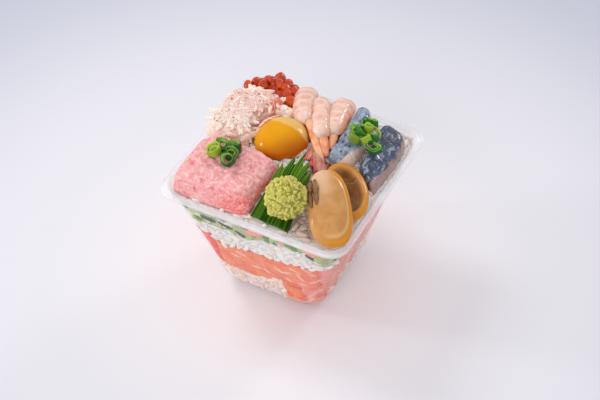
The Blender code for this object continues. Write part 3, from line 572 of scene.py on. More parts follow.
# Each row of the profile: half width, corner radius, height, and how much painted sheen its edge shows.
outer = []
for step in range(HEEL_STEPS + 1):
    turn = math.radians(90.0 * step / HEEL_STEPS)
    half = BASE_HALF + HEEL_RADIUS * math.sin(turn)
    corner = BASE_CORNER + (WALL_FOOT_CORNER - BASE_CORNER) * math.sin(turn)
    outer.append((half, corner, HEEL_RADIUS * (1.0 - math.cos(turn)), 0.0))
under = RIM_HEIGHT - FLANGE_THICK
lip = RIM_HEIGHT - FLANGE_LIP
outer += [
    (STEP_HALF - 0.2, TOP_CORNER, STEP_HEIGHT - 0.6, 0.0),
    (STEP_HALF, TOP_CORNER, STEP_HEIGHT, 0.6),
    (BAND_FOOT_HALF - 0.3, TOP_CORNER, STEP_HEIGHT + 0.5, 1.0),
    (BAND_FOOT_HALF, TOP_CORNER, STEP_HEIGHT + 1.0, 0.5),
    (BAND_TOP_HALF - 0.2, TOP_CORNER, under - 0.6, 0.2),
    (BAND_TOP_HALF, TOP_CORNER, under - 0.2, 0.8),
    (BAND_TOP_HALF + 0.4, TOP_CORNER, under, 1.0),
    (FLANGE_HALF - 1.1, FLANGE_CORNER, under, 0.8),
    (FLANGE_HALF - 0.8, FLANGE_CORNER, lip, 1.0),
    (FLANGE_HALF - 0.1, FLANGE_CORNER, lip, 1.0),
    (FLANGE_HALF, FLANGE_CORNER, lip + LIP_ROUND, 1.0),
    (FLANGE_HALF, FLANGE_CORNER, RIM_HEIGHT - LIP_ROUND, 1.0),
    (FLANGE_HALF - 0.1, FLANGE_CORNER, RIM_HEIGHT - 0.1, 1.0),
    (FLANGE_HALF - LIP_ROUND, FLANGE_CORNER, RIM_HEIGHT, 1.0),
    (FLANGE_HALF - 1.2, FLANGE_CORNER, RIM_HEIGHT, 0.6),
    (FLANGE_HALF - 1.7, FLANGE_CORNER, RIM_HEIGHT + BEAD_RISE * 0.7, 0.9),
    (FLANGE_HALF - 2.1, FLANGE_CORNER, RIM_HEIGHT + BEAD_RISE, 1.0),
    (FLANGE_HALF - 2.5, FLANGE_CORNER, RIM_HEIGHT + BEAD_RISE * 0.7, 0.9),
    (FLANGE_HALF - 3.0, TOP_CORNER, RIM_HEIGHT, 0.7),
    (BAND_TOP_HALF - 0.4, TOP_CORNER - 0.4, RIM_HEIGHT - 0.1, 1.0),
    (BAND_TOP_HALF - WALL, TOP_CORNER - WALL, RIM_HEIGHT - 0.5, 0.8),
]
inside = []
for z in (RIM_HEIGHT - 2.0, STEP_HEIGHT + 1.0, STEP_HEIGHT + 0.5, STEP_HEIGHT, 50.0, 30.0):
    half, radius = inner_wall(z)
    inside.append((float(half), float(radius), z, 0.0))
for step in range(HEEL_STEPS, -1, -1):
    z = HEEL_RADIUS - (HEEL_RADIUS - WALL) * math.cos(math.radians(90.0 * step / HEEL_STEPS))
    half, radius = inner_wall(z)
    inside.append((float(half), float(radius), z, 0.0))
profile = outer + inside
rings = [
    np.column_stack([square(ring_s, half, radius), np.full(AROUND, z)])
    for half, radius, z, _ in profile
]
cup_points, cup_faces = loft(rings)
painted_edge_sheen = np.append(spread([row[3] for row in profile], AROUND), [0.0, 0.0])

# %% Clear plastic
plastic = bpy.data.materials.new("clear plastic")
plastic.use_nodes = True
tree = plastic.node_tree
shader = tree.nodes["Principled BSDF"]
clear = use_group(tree, mottle, Light=paint("f7f8fb"), Dark=paint("f3e6ea"), Spot_size=14.0, Amount=0.6)
tree.links.new(clear.outputs["Color"], shader.inputs["Base Color"])
film = use_group(tree, moist, Wet=0.08, Dry=0.16, Patch_size=12.0)
tree.links.new(film.outputs[0], shader.inputs["Roughness"])
shader.inputs["Specular IOR Level"].default_value = 0.9
angle = tree.nodes.new("ShaderNodeLayerWeight")
angle.inputs["Blend"].default_value = 0.35
edge_on = math_node(tree, "MULTIPLY", math_node(tree, "POWER", angle.outputs["Facing"], 2.0), 0.16)
# Painted sheen: the bends of the rim, step, bead and lip are made paler, as if they caught the light.
pale = math_node(tree, "MULTIPLY", mask_of(tree, "edge"), 0.42)
haze = math_node(tree, "ADD", math_node(tree, "ADD", edge_on, pale), 0.012, clamp=True)
tree.links.new(haze, shader.inputs["Alpha"])
dress("clear_cup", cup_points, cup_faces, plastic, "clear_plastic", ["cup"], edge=painted_edge_sheen)

# %% [markdown]
# ## The surfaces between the layers
# Each layer was spooned in and pressed down, so the line between two layers rises and falls. Near
# the front wall it follows what the photo shows, and behind it waves gently. The same functions of
# x and y as in the solid model give the floor and roof of every layer here.

# %% Layer surfaces
RICE_BASE_TOP = (
    (-30, 20.5), (-18, 17.3), (-8, 16.8), (1, 18.6), (9, 22.3), (15, 20.0), (21, 15.5), (32, 16.5),
)
SALMON_TOP = (
    (-34, 44.0), (-26, 41.2), (-19, 35.6), (-9, 38.4), (4, 39.4), (14, 40.4), (24, 42.0), (36, 46.0),
)
RICE_MIDDLE_TOP = (
    (-36, 49.4), (-25, 50.4), (-15, 50.8), (-7, 49.0), (6, 54.0), (15, 56.4), (24, 55.6), (37, 48.6),
)
CUCUMBER_TOP = ((-40, 65.6), (-22, 65.0), (-4, 63.4), (14, 62.6), (40, 61.8))
WAVE_HEIGHT, WAVE_LENGTH = 1.6, 8.5
FRONT_FADE_FROM, FRONT_FADE_TO = -30.0, -12.0
BED_EDGE, BED_RISE, BED_HALF = 67.0, 6.5, 44.0


def between(pairs, x):
    """Height at each x on a smooth line through the pairs, level beyond both ends."""
    height = np.full(np.shape(x), float(pairs[0][1]))
    for (x0, z0), (x1, z1) in zip(pairs[:-1], pairs[1:]):
        height = np.where(x > x0, z0 + (z1 - z0) * smooth_step(x0, x1, x), height)
    return height


def layer_surface(front, level, phase):
    def height(x, y):
        x, y = np.asarray(x, float), np.asarray(y, float)
        inside = level + WAVE_HEIGHT * np.sin(x / WAVE_LENGTH + phase) * np.cos(y / WAVE_LENGTH + phase)
        near = 1.0 - smooth_step(FRONT_FADE_FROM, FRONT_FADE_TO, y)
        return inside + (between(front, x) - inside) * near

    return height


def bed(x, y):
    """The rice under the toppings, domed from the wall to the middle."""
    u = np.minimum(1.0, np.abs(x) / BED_HALF)
    v = np.minimum(1.0, np.abs(y) / BED_HALF)
    return BED_EDGE + BED_RISE * (1.0 - u * u) * (1.0 - v * v)


def cup_floor(x, y):
    return np.full(np.shape(x), WALL)


rice_base_top = layer_surface(RICE_BASE_TOP, 18.0, 0.4)
salmon_top = layer_surface(SALMON_TOP, 40.5, 1.7)
rice_middle_top = layer_surface(RICE_MIDDLE_TOP, 51.5, 2.9)
cucumber_top = layer_surface(CUCUMBER_TOP, 63.0, 0.9)


def edge_line(surface, s, inset):
    """Where a layer surface meets the wall."""
    z = np.full(len(s), float(surface(0.0, 0.0)))
    for _ in range(8):
        points = wall_point(s, z, inset)
        z = surface(points[:, 0], points[:, 1])
    return wall_point(s, z, inset)


CAP_SHARES = (0.97, 0.9, 0.8, 0.65, 0.45, 0.22)


def layer_skin(floor_at, roof_at, rows, inset, bumps=None):
    """A closed layer. inset is how far its side stays behind the wall, and bumps changes that."""
    low = edge_line(floor_at, ring_s, inset)
    high = edge_line(roof_at, ring_s, inset)
    rings = []
    for share in CAP_SHARES[::-1]:
        x, y = low[:, 0] * share, low[:, 1] * share
        rings.append(np.column_stack([x, y, floor_at(x, y)]))
    for row in range(rows + 1):
        z = low[:, 2] + (high[:, 2] - low[:, 2]) * row / rows
        place = wall_point(ring_s, z, inset)
        if bumps is not None:
            place = wall_point(ring_s, z, inset + bumps(place))
        rings.append(place)
    for share in CAP_SHARES:
        x, y = high[:, 0] * share, high[:, 1] * share
        rings.append(np.column_stack([x, y, roof_at(x, y)]))
    points, faces = loft(rings)
    points[-2, 2] = floor_at(0.0, 0.0)
    points[-1, 2] = roof_at(0.0, 0.0)
    return points, faces


def wall_axes(s, z):
    """At places on the wall: the way round it, the way up it, and the way out of it."""
    round_it = unit(wall_point(s + 0.001, z) - wall_point(s - 0.001, z))
    up_it = unit(wall_point(s, z + 0.3) - wall_point(s, z - 0.3))
    return round_it, up_it, unit(np.cross(round_it, up_it))


for surface in (rice_base_top, salmon_top, rice_middle_top, cucumber_top):
    print("edge heights:", surface(np.array([-30.0, 0.0, 30.0]), np.array([-36.0, -38.0, -38.0])).round(1))

# %% [markdown]
# ## Rice
# Two layers of rice and the bed under the toppings. Short-grain rice is about six millimetres long
# and less than three wide, and it clings together, so a solid core with many hundreds of real
# grains laid over it looks like rice from every side. At the wall the grains lie flat and reach just into
# the plastic, as wet rice pressed against a cup does. On the bed they lie at all angles. Grains
# that a topping hides are left out, which keeps the mesh small.

# %% One grain of rice
GRAIN_HALF = (3.1, 1.35, 1.3)
GRAIN_ROWS, GRAIN_AROUND = 8, 9
rows = np.linspace(-0.97, 0.97, GRAIN_ROWS)
girth = (1.0 - np.abs(rows) ** 2.6) ** 0.55
turns = np.linspace(0.0, 2.0 * np.pi, GRAIN_AROUND, endpoint=False)
grain_rings = []
for row, size in zip(rows, girth):
    side, rise = np.cos(turns) * size, np.sin(turns) * size + 0.1 * row ** 2
    grain_rings.append(np.column_stack([np.full(GRAIN_AROUND, row), side, rise]))
grain_points, grain_quads = loft(grain_rings)
grain_faces = []
for face in grain_quads:
    grain_faces.append(face[:3])
    if len(face) == 4:
        grain_faces.append([face[0], face[2], face[3]])
grain_faces = np.array(grain_faces)
print("triangles in one grain:", len(grain_faces))

# %% Rice finish
rice_look, tree, shader, colour = food(
    "rice", "f3e8e0", "e6d4c8", spot=5.0, amount=0.6, wet=0.28, dry=0.5, grain=0.7, depth=0.06,
    inner=0.5, glow="ffb080", reach=2.5,
)
tone = mask_of(tree, "tone")
colour = tint(tree, shader, colour, step_node(tree, tone, 0.3, 0.95), "f8cfc0")
# This mask is sauce run into the rice in one spot and painted shade in two others.
colour = tint(tree, shader, colour, mask_of(tree, "sauce"), "a06848")


# %% Grains against the wall
GRAIN_STEP_ALONG, GRAIN_STEP_UP = 4.3, 2.6
GRAIN_INSET = 1.1


def wall_grains(floor_at, roof_at, skip=None):
    """Centres, axes and sizes of grains lying flat against the wall in a layer."""
    around = int(260.0 / GRAIN_STEP_ALONG) + 4
    places = []
    for row in range(12):
        for column in range(around):
            s = (column + 0.5 * (row % 2) + random_draw.uniform(-0.3, 0.3)) / around
            places.append((s, row * GRAIN_STEP_UP + random_draw.uniform(-0.7, 0.7)))
    s, rise = np.array(places).T
    low = edge_line(floor_at, s, GRAIN_INSET)[:, 2]
    high = edge_line(roof_at, s, GRAIN_INSET)[:, 2]
    z = low + 1.2 + rise
    keep = (z < high - 0.9) & (z > 2.4)
    s, z = s[keep], z[keep]
    if skip is not None:
        keep = ~skip(s, z)
        s, z = s[keep], z[keep]
    round_it, up_it, out = wall_axes(s, z)
    turn = random_draw.normal(0.0, 0.9, len(s))[:, None]
    lean = random_draw.normal(0.0, 0.12, len(s))[:, None]
    along = round_it * np.cos(turn) + up_it * np.sin(turn) + out * lean
    sizes = np.array(GRAIN_HALF) * random_draw.uniform(0.85, 1.1, (len(s), 1))
    return wall_point(s, z, GRAIN_INSET), axes_from(along, out), sizes


def slice_area(s, z):
    """Where salmon slices stand against the right wall and the near corner, in front of the rice."""
    near_corner = ((s % 1.0 > 0.955) | (s % 1.0 < 0.055)) & (z < 19.0)
    return near_corner | ((s > 0.055) & (s < 0.2) & (z > 9.0) & (z < 62.0))


CORE_INSET = 0.75


def core_dents(place):
    return 0.45 * noise_at(place, 2.6, 3)


for name, floor_at, roof_at, rows, pinkness in (
    ("rice_base", cup_floor, rice_base_top, 14, 0.75),
    ("rice_middle", salmon_top, rice_middle_top, 8, 0.0),
):
    core = layer_skin(floor_at, roof_at, rows, CORE_INSET, core_dents)
    centres, axes, sizes = wall_grains(floor_at, roof_at, slice_area)
    grains = scatter(grain_points, grain_faces, centres, axes, sizes)
    points, faces = joined(core, grains)
    tones = np.append(np.full(len(core[0]), pinkness), spread(
        pinkness + random_draw.uniform(-0.3, 0.3, len(centres)), len(grain_points)))
    dress(name + "_grains", points, faces, rice_look, "rice", [name],
          tone=tones, sauce=np.zeros(len(points)))

# %% The bed of rice under the toppings
TOPPINGS = (
    "minced_tuna", "crab_heap", "salmon_roe", "egg_yolk", "prawn_1", "prawn_2", "prawn_3", "fish_slice_1",
    "fish_slice_2", "clam_front", "clam_back", "leaf_divider", "wasabi_ball",
)
trees = []
for node in TOPPINGS:
    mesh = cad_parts[node].data
    solid_points = [vertex.co / MM for vertex in mesh.vertices]
    trees.append(BVHTree.FromPolygons(solid_points, [tuple(face.vertices) for face in mesh.polygons]))
HIDDEN_MARGIN = 1.6


def covered(x, y):
    """Whether toppings hide this spot of the bed and everything a little way round it."""
    for shift_x, shift_y in ((0, 0), (1, 0), (-1, 0), (0, 1), (0, -1)):
        spot = Vector((x + shift_x * HIDDEN_MARGIN, y + shift_y * HIDDEN_MARGIN, 60.0))
        if not any(solid.ray_cast(spot, Vector((0.0, 0.0, 1.0)))[0] for solid in trees):
            return False
    return True


BED_LIMIT = 43.2
BED_STEP = 2.7
spots = []
for x in np.arange(-BED_LIMIT, BED_LIMIT, BED_STEP):
    for y in np.arange(-BED_LIMIT, BED_LIMIT, BED_STEP):
        spot_x = x + random_draw.uniform(-1.2, 1.2)
        spot_y = y + random_draw.uniform(-1.2, 1.2)
        past_corner = abs(spot_x) > 38.0 and abs(spot_y) > 38.0 and math.hypot(
            abs(spot_x) - 36.0, abs(spot_y) - 36.0) > 6.4
        if max(abs(spot_x), abs(spot_y)) < 42.6 and not past_corner and not covered(spot_x, spot_y):
            spots.append((spot_x, spot_y))
spots = np.array(spots)
bed_z = bed(spots[:, 0], spots[:, 1]) + random_draw.uniform(-0.2, 1.0, len(spots))
turn = random_draw.uniform(0.0, math.pi, len(spots))
along = np.column_stack([np.cos(turn), np.sin(turn), random_draw.normal(0.0, 0.3, len(spots))])
sizes = np.array(GRAIN_HALF) * random_draw.uniform(0.85, 1.1, (len(spots), 1))
near_rim = np.maximum(np.abs(spots[:, 0]), np.abs(spots[:, 1])) > 40.0
round_rim = np.where(np.abs(spots[:, [0]]) > np.abs(spots[:, [1]]), [[0.0, 1.0, 0.0]], [[1.0, 0.0, 0.0]])
along = np.where(near_rim[:, None], round_rim + 0.15 * along, along)
up = np.tile([0.0, 0.0, 1.0], (len(spots), 1))
bed_grains = scatter(grain_points, grain_faces, np.column_stack([spots, bed_z]), axes_from(along, up), sizes)


def bed_top(x, y):
    return bed(x, y) - 0.2


rim_centres, rim_axes, rim_sizes = wall_grains(cucumber_top, bed_top)
rim_grains = scatter(grain_points, grain_faces, rim_centres, rim_axes, rim_sizes)
bed_core = layer_skin(cucumber_top, bed_top, 5, CORE_INSET, core_dents)
points, faces = joined(bed_core, bed_grains, rim_grains)
tones = np.concatenate([
    np.full(len(bed_core[0]), 0.3),
    spread(random_draw.uniform(0.0, 0.8, len(spots)), len(grain_points)),
    spread(random_draw.uniform(0.0, 0.6, len(rim_centres)), len(grain_points)),
])
# Spots where the rice top is darkened: x, y, how far it reaches, and how dark it is. The first is
# sauce run into the rice; the other two are painted shade in the gaps between toppings.
SAUCE_AND_SHADE_SPOTS = ((25.5, -37.0, 11.0, 0.45), (17.0, -4.0, 9.0, 0.85), (8.0, -14.0, 7.0, 0.6))
sauce = np.zeros(len(points))
for x, y, reach, strength in SAUCE_AND_SHADE_SPOTS:
    by_sauce = np.hypot(points[:, 0] - x, points[:, 1] - y)
    sauce = np.maximum(sauce, strength * (1.0 - smooth_step(0.4 * reach, reach, by_sauce)))
sauce *= smooth_step(66.0, 69.0, points[:, 2])
dress("rice_bed", points, faces, rice_look, "rice", ["rice_top"], tone=tones, sauce=sauce)

# %% [markdown]
# ## Salmon
# Thick slices of raw salmon make up the deepest coloured layer. Against the wall they merge into
# one orange band, broken by soft seams where a slice ends and by pale flecks of fat. The red
# piece at the left corner and the pink one at the right are told apart by seams pushed in by about
# a millimetre. Some slices stand on end instead: three against the right wall, and two at the near
# corner that reach down to the foot. Those are closed bodies of their own, curved with the wall.

# %% Salmon band
salmon_look, tree, shader, colour = food(
    "salmon", "ee8458", "e06038", spot=7.0, amount=0.7, wet=0.16, dry=0.4, grain=1.6, depth=0.1,
    inner=0.25, glow="ff5030", reach=2.0,
)
streak_place = place_node(tree, (0.16, 0.16, 0.5), (20.0, 35.0, 30.0))
streaks = noise_node(tree, streak_place, 1.0, 3.0, 1.2)
flecks = step_node(tree, streaks, 0.60, 0.68)
fine_fat = step_node(tree, noise_node(tree, place_node(tree), 2.2, 3.0), 0.62, 0.72)
colour = tint(tree, shader, colour, mask_of(tree, "red"), "ea4a3e")
colour = tint(tree, shader, colour, mask_of(tree, "pink"), "ec8a80")
colour = tint(tree, shader, colour, flecks, "f9b892", 0.35)
colour = tint(tree, shader, colour, fine_fat, "fbd0b4", 0.3)
colour = tint(tree, shader, colour, mask_of(tree, "seam"), "c84a38")
colour = tint(tree, shader, colour, mask_of(tree, "fat"), "fadccd")

LEFT_SEAM = ((-24.2, 38.0), (-22.7, 17.8))
RIGHT_SEAM = ((32.1, 48.1), (28.9, 19.4))


def seam_x(seam, z):
    (x0, z0), (x1, z1) = seam
    return x0 + (x1 - x0) * (z - z0) / (z1 - z0)


def at_front(place):
    return smooth_step(-26.0, -30.0, place[:, 1])


def seam_depth(place):
    """1 on a seam, 0 away from it."""
    left = np.exp(-((place[:, 0] - seam_x(LEFT_SEAM, place[:, 2])) / 0.8) ** 2)
    right = np.exp(-((place[:, 0] - seam_x(RIGHT_SEAM, place[:, 2])) / 0.8) ** 2)
    turn = np.arctan2(place[:, 1], place[:, 0]) * 5.0 + 0.09 * place[:, 2]
    slanted = np.exp(-((turn / 2.2 + 0.6 * noise_at(place, 9.0, 8)) % 1.0 - 0.5) ** 2 / 0.0022)
    return np.maximum(at_front(place) * np.maximum(left, right), (1.0 - at_front(place)) * slanted)


def salmon_bumps(place):
    return 0.9 * seam_depth(place) + 0.25 * (1.0 + noise_at(place, 5.0, 9)) - 0.2


# Short lines of fat at the front: x and z of one end, then of the other.
FAT_LINES = (
    (-5.2, 25.6, -1.1, 26.8), (1.5, 27.1, 3.7, 24.8), (7.6, 33.3, 10.6, 30.9), (10.5, 30.1, 15.5, 32.4),
    (19.5, 33.9, 22.3, 29.9), (12.5, 26.2, 15.7, 24.7), (20.1, 26.2, 22.6, 26.4), (25.1, 41.3, 28.4, 38.4),
    (26.7, 25.5, 29.2, 24.9), (26.1, 30.3, 31.0, 32.9), (-16.0, 30.4, -12.4, 29.2),
    (-12.6, 34.2, -8.0, 33.2),
    (16.4, 37.4, 20.2, 36.0),
)


def fat_lines(place):
    """1 on the short pale lines of fat that show at the front, 0 away from them."""
    found = np.zeros(len(place))
    for x0, z0, x1, z1 in FAT_LINES:
        run = np.array([x1 - x0, z1 - z0])
        off = place[:, [0, 2]] - [x0, z0]
        share = np.clip(off @ run / (run @ run), 0.0, 1.0)
        away = np.linalg.norm(off - share[:, None] * run, axis=1)
        found = np.maximum(found, np.exp(-(away / 0.5) ** 2))
    return found * at_front(place)


salmon_points, salmon_faces = layer_skin(rice_base_top, salmon_top, 44, 0.05, salmon_bumps)
in_front = at_front(salmon_points)
past_left = salmon_points[:, 0] - seam_x(LEFT_SEAM, salmon_points[:, 2])
past_right = salmon_points[:, 0] - seam_x(RIGHT_SEAM, salmon_points[:, 2])
red = in_front * smooth_step(0.6, -0.6, past_left)
red = np.maximum(red, 0.8 * smooth_step(0.1, 0.5, noise_at(salmon_points, 22.0, 4)) * (1.0 - in_front))
pink = in_front * smooth_step(-0.6, 0.6, past_right)
pink = np.maximum(pink, 0.8 * smooth_step(0.1, 0.5, noise_at(salmon_points + 90.0, 22.0, 4)))
pink *= smooth_step(0.9, 0.4, red)
dress(
    "salmon_band", salmon_points, salmon_faces, salmon_look, "salmon", ["salmon_layer"],
    red=red, pink=pink, seam=0.5 * seam_depth(salmon_points), fat=0.8 * fat_lines(salmon_points),
)

# %% Salmon slices standing on end
# Each slice: place round the wall from and to, height from and to, slant, redness, pinkness.
SLICES = (
    (0.062, 0.105, 11.0, 60.5, 0.0, 0.6, 0.0), (0.100, 0.150, 13.5, 61.5, 0.25, 0.1, 0.7),
    (0.146, 0.192, 12.0, 57.0, 0.1, 0.4, 0.3), (0.955, 1.010, 2.6, 24.0, -1.8, 0.1, 0.0),
    (1.004, 1.058, 2.8, 27.0, 0.2, 0.0, 0.8),
)
SLICE_THICK = 1.9
parts = []
masks = []
for s_from, s_to, z_from, z_to, slant, redness, pinkness in SLICES:
    columns, steps = 26, 60
    rings = []
    for step in range(steps):
        t = step / (steps - 1)
        z = z_from + (z_to - z_from) * t
        end_round = math.sqrt(max(0.0, 1.0 - abs(2.0 * t - 1.0) ** 8))
        middle = (s_from + s_to) / 2 + 0.012 * slant * (t - 0.5) + 0.003 * math.sin(t * 9.0 + s_from * 90.0)
        half = (s_to - s_from) / 2 * (0.3 + 0.7 * end_round)
        turn = np.linspace(0.0, 2.0 * np.pi, columns, endpoint=False)
        s = middle + half * np.sign(np.cos(turn)) * np.abs(np.cos(turn)) ** 0.6
        inset = 0.5 * SLICE_THICK * (1.0 - np.sign(np.sin(turn)) * np.abs(np.sin(turn)) ** 0.6) - 0.2
        rings.append(wall_point(s, np.full(columns, z), inset))
    points, faces = loft(rings)
    ripple = noise_at(points * [1.0, 1.0, 0.25], 2.0, 12)
    parts.append((points + np.array([-0.12, 0.0, 0.0]) * (1.0 + ripple[:, None]), faces))
    stripes = np.sin(points[:, 1] * 1.5 + 0.05 * points[:, 2] + 1.2 * noise_at(points, 6.0, 14))
    even = np.ones(len(points))
    pale_stripes = smooth_step(0.72, 0.98, stripes)
    dark_stripes = smooth_step(-0.8, -0.98, stripes)
    masks.append((redness * even, pinkness * even, pale_stripes, dark_stripes))
points, faces = joined(*parts)
redness, pinkness, fat, dark = (np.concatenate(part) for part in zip(*masks))
dress(
    "salmon_slices_side", points, faces, salmon_look, "salmon", [],
    red=redness, pink=pinkness, seam=0.6 * dark, fat=0.5 * fat,
)

# %% [markdown]
# ## Cucumber
# The green layer is diced cucumber with a little pink fish between the dice. A dice shows pale
# flesh or dark skin, depending on how it fell. A pale core fills the layer, and rounded dice are
# pressed against the wall over it. Those at the front lie where the photo shows them. The rest
# are drawn at random in the same proportions.

# %% Cucumber finish
cucumber_look, tree, shader, colour = food(
    "cucumber", "b4c080", "8fa458", spot=3.0, amount=0.6, wet=0.12, dry=0.35, grain=1.0, depth=0.08,
    inner=0.4, glow="90c040", reach=2.5,
)
tone = mask_of(tree, "tone")
for low, high, code in (
    (0.15, 0.25, "6e8c38"), (0.35, 0.45, "dad8bc"), (0.55, 0.65, "f09c84"), (0.75, 0.85, "4a5c52"),
):
    colour = tint(tree, shader, colour, step_node(tree, tone, low, high), code)

# %% Diced cucumber
GREEN, LEAFY, WHITISH, PINK, SKIN = 0.0, 0.3, 0.5, 0.7, 0.95
# Dice at the front: x, height, half length, half width, turn in degrees, kind.
FRONT_DICE = (
    (-30.1, 61.0, 4.2, 3.9, 75, GREEN), (-24.0, 55.6, 4.6, 1.5, -6, SKIN),
    (-16.4, 61.0, 3.8, 1.4, -20, SKIN),
    (-5.0, 61.0, 4.2, 1.7, -12, SKIN), (-14.8, 55.4, 4.2, 1.3, -16, SKIN), (-7.4, 52.9, 3.6, 1.6, -38, SKIN),
    (-14.6, 58.9, 5.2, 1.5, -9, WHITISH), (-0.4, 58.2, 5.6, 2.6, 2, PINK), (7.0, 57.0, 1.9, 2.9, 10, LEAFY),
    (11.6, 61.0, 3.0, 1.3, -5, WHITISH), (11.2, 56.0, 1.6, 0.8, -15, SKIN),
    (19.7, 58.4, 4.2, 2.5, -20, LEAFY),
    (29.6, 59.4, 4.0, 2.8, -30, PINK), (29.8, 55.1, 3.6, 1.3, -12, SKIN),
    (-33.4, 62.4, 3.0, 1.1, 24, SKIN), (37.6, 56.6, 4.4, 4.4, -25, GREEN),
    (41.4, 60.6, 1.6, 0.8, -12, SKIN), (-36.0, 54.8, 3.4, 2.4, 30, WHITISH),
    (-37.4, 60.4, 2.2, 3.0, 0, LEAFY),
    (-22.0, 61.6, 2.6, 1.8, 15, GREEN), (24.8, 60.9, 2.2, 1.3, 30, GREEN), (15.0, 58.2, 1.8, 1.6, 0, PINK),
    (33.6, 52.6, 2.6, 1.5, 10, WHITISH), (3.2, 62.0, 2.4, 1.0, 0, GREEN), (-29.0, 53.2, 3.0, 1.3, 8, LEAFY),
)
DICE_DEPTH = 1.7
unit_ball, ball_faces = ball(3)
dice_points = np.sign(unit_ball) * np.abs(unit_ball) ** 0.62


def front_s(x, z):
    """The place round the wall of a point of the front face."""
    half, radius = inner_wall(z)
    reach = float(half - radius)
    return 0.75 + 0.25 * (CORNER_SHARE + (1.0 - CORNER_SHARE) * (x + reach) / (2.0 * reach))


dice = []
for x, z, half_long, half_wide, turn, tone in FRONT_DICE:
    if abs(x) < 35.0:
        dice.append((front_s(x, z), z, half_long, half_wide, turn, tone))
    else:
        dice.append((front_s(math.copysign(34.0, x), z) + (abs(x) - 34.0) * math.copysign(0.0028, x), z,
                     half_long, half_wide, turn, tone))
for column in range(48):
    for row in range(3):
        s = 0.75 * (column + 0.5 * (row % 2) + random_draw.uniform(-0.25, 0.25)) / 48 + 0.012
        tone = random_draw.choice([GREEN, LEAFY, WHITISH, PINK, SKIN], p=[0.35, 0.2, 0.2, 0.13, 0.12])
        thin = 0.45 if tone == SKIN else 1.0
        dice.append((
            s, 54.0 + 3.7 * row + random_draw.uniform(-0.8, 0.8), random_draw.uniform(2.2, 4.0),
            random_draw.uniform(1.6, 2.6) * thin, random_draw.uniform(-60, 60), tone,
        ))
s, z, half_long, half_wide, turn, tone = np.array(dice).T
keep = ~((s > 0.06) & (s < 0.19) & (z < 60.0))
s, z, half_long, half_wide, turn, tone = (part[keep] for part in (s, z, half_long, half_wide, turn, tone))
round_it, up_it, out = wall_axes(s, z)
angle = np.radians(turn)[:, None]
axes = axes_from(round_it * np.cos(angle) + up_it * np.sin(angle), out)
sizes = np.column_stack([half_long, half_wide, np.full(len(s), DICE_DEPTH)])
chunks = scatter(dice_points, ball_faces, wall_point(s, z, DICE_DEPTH - 0.2), axes, sizes)
core = layer_skin(rice_middle_top, cucumber_top, 16, 0.5, lambda place: 0.5 * noise_at(place, 3.0, 21))
points, faces = joined(core, chunks)
wobble = 0.18 * wander(points, 2.4, (31, 32, 33))
inward = -unit(points[:, :2])
loose = slice(len(core[0]), None)
points[loose, 2] += wobble[loose, 2]
points[loose, :2] += inward[loose] * np.abs(wobble[loose, :1])
core_tone = 0.5 * smooth_step(-0.1, 0.4, noise_at(core[0], 4.0, 22))
tones = np.append(core_tone, spread(tone, len(dice_points)))
dress("cucumber_dice", points, faces, cucumber_look, "cucumber", ["cucumber_layer"], tone=tones)

# %% [markdown]
# ## Heaps of minced tuna and crab
# Both are soft heaps with a clear outline seen from above. A dense skin follows the same outline
# and the same rise over the bed as the solid does, and the surface of each is then built up: a fine
# grain and a crease for the minced tuna, lumps and thin shreds for the crab.

# %% Heap helpers
GAP, REST, FOOT = 0.3, 0.55, 1.2


def mound(corners, count, rise, lean=(0.0, 0.0), rows=34, lump=None):
    """A heap on the bed: an outline, a rise over the bed, and a function that roughens the top."""
    outline = smooth_line(corners, count, closed=True)
    centre = outline.mean(axis=0)
    length = np.linalg.norm(outline - centre, axis=1)
    shares = np.sin(np.linspace(0.04, 1.0, rows) * np.pi / 2)
    rings = []
    for share in (0.5, 1.0):
        place = centre + (outline - centre) * share
        rings.append(np.column_stack([place, bed(place[:, 0], place[:, 1]) + REST]))
    for share in shares[::-1]:
        place = centre + (outline - centre) * share
        base = bed(place[:, 0], place[:, 1]) + REST
        inward = length * (1.0 - share)
        height = rise(place[:, 0], place[:, 1], inward)
        top = np.column_stack([place + np.outer(height, lean) / 10.0, base + height])
        if lump is not None:
            edge = np.minimum(1.0, (inward + 0.4) / 2.0)[:, None]
            top = top + lump(top) * edge
        rings.append(top)
    return loft(rings)


# %% Minced tuna
TUNA_OUTLINE = (
    (-42.0, -39.0), (-37.5, -42.6), (-20.0, -43.0), (-6.0, -42.6), (-2.2, -40.0), (-1.4, -31.0),
    (-1.0, -22.0),
    (-1.6, -13.5), (-8.0, -10.4), (-17.0, -9.4), (-26.0, -8.6), (-36.0, -9.6), (-42.6, -15.0),
    (-43.0, -28.0),
)
TUNA_TOP, TUNA_FRONT, TUNA_SHOULDER = 80.4, -43.0, 5.6
CREASE = ((-19.0, -31.0), (-8.0, -26.6), (0.5, -23.4))


def tuna_top(x, y):
    return TUNA_TOP - 1.4 * smooth_step(-12.0, 0.0, x) - 1.6 * smooth_step(-30.0, -43.0, x)


def crease_y(x):
    return between(CREASE, x)


def tuna_rise(x, y, inward):
    height = tuna_top(x, y) - bed(x, y)
    slope = 13.0 + 5.0 * smooth_step(-24.0, 0.0, x)
    front = rounded(np.maximum(0.0, y - TUNA_FRONT), slope)
    return FOOT + (height - FOOT) * rounded(inward, TUNA_SHOULDER) * (0.12 + 0.88 * front)


def tuna_lump(place):
    up = 0.6 * noise_at(place, 6.0, 41) + 0.75 * rough_noise(place, 2.8, 42, 3)
    past_crease = place[:, 1] - crease_y(place[:, 0])
    step = smooth_step(-21.0, -12.0, place[:, 0]) * smooth_step(0.5, -0.5, past_crease)
    groove = np.exp(-(past_crease / 0.55) ** 2)
    up = up - 0.9 * step * smooth_step(-40.0, -30.0, place[:, 1])
    up = up - 0.8 * groove * smooth_step(-19, -12, place[:, 0])
    aside = 0.25 * rough_noise(place + 50.0, 2.8, 43, 2)
    return np.column_stack([aside, -aside, up])


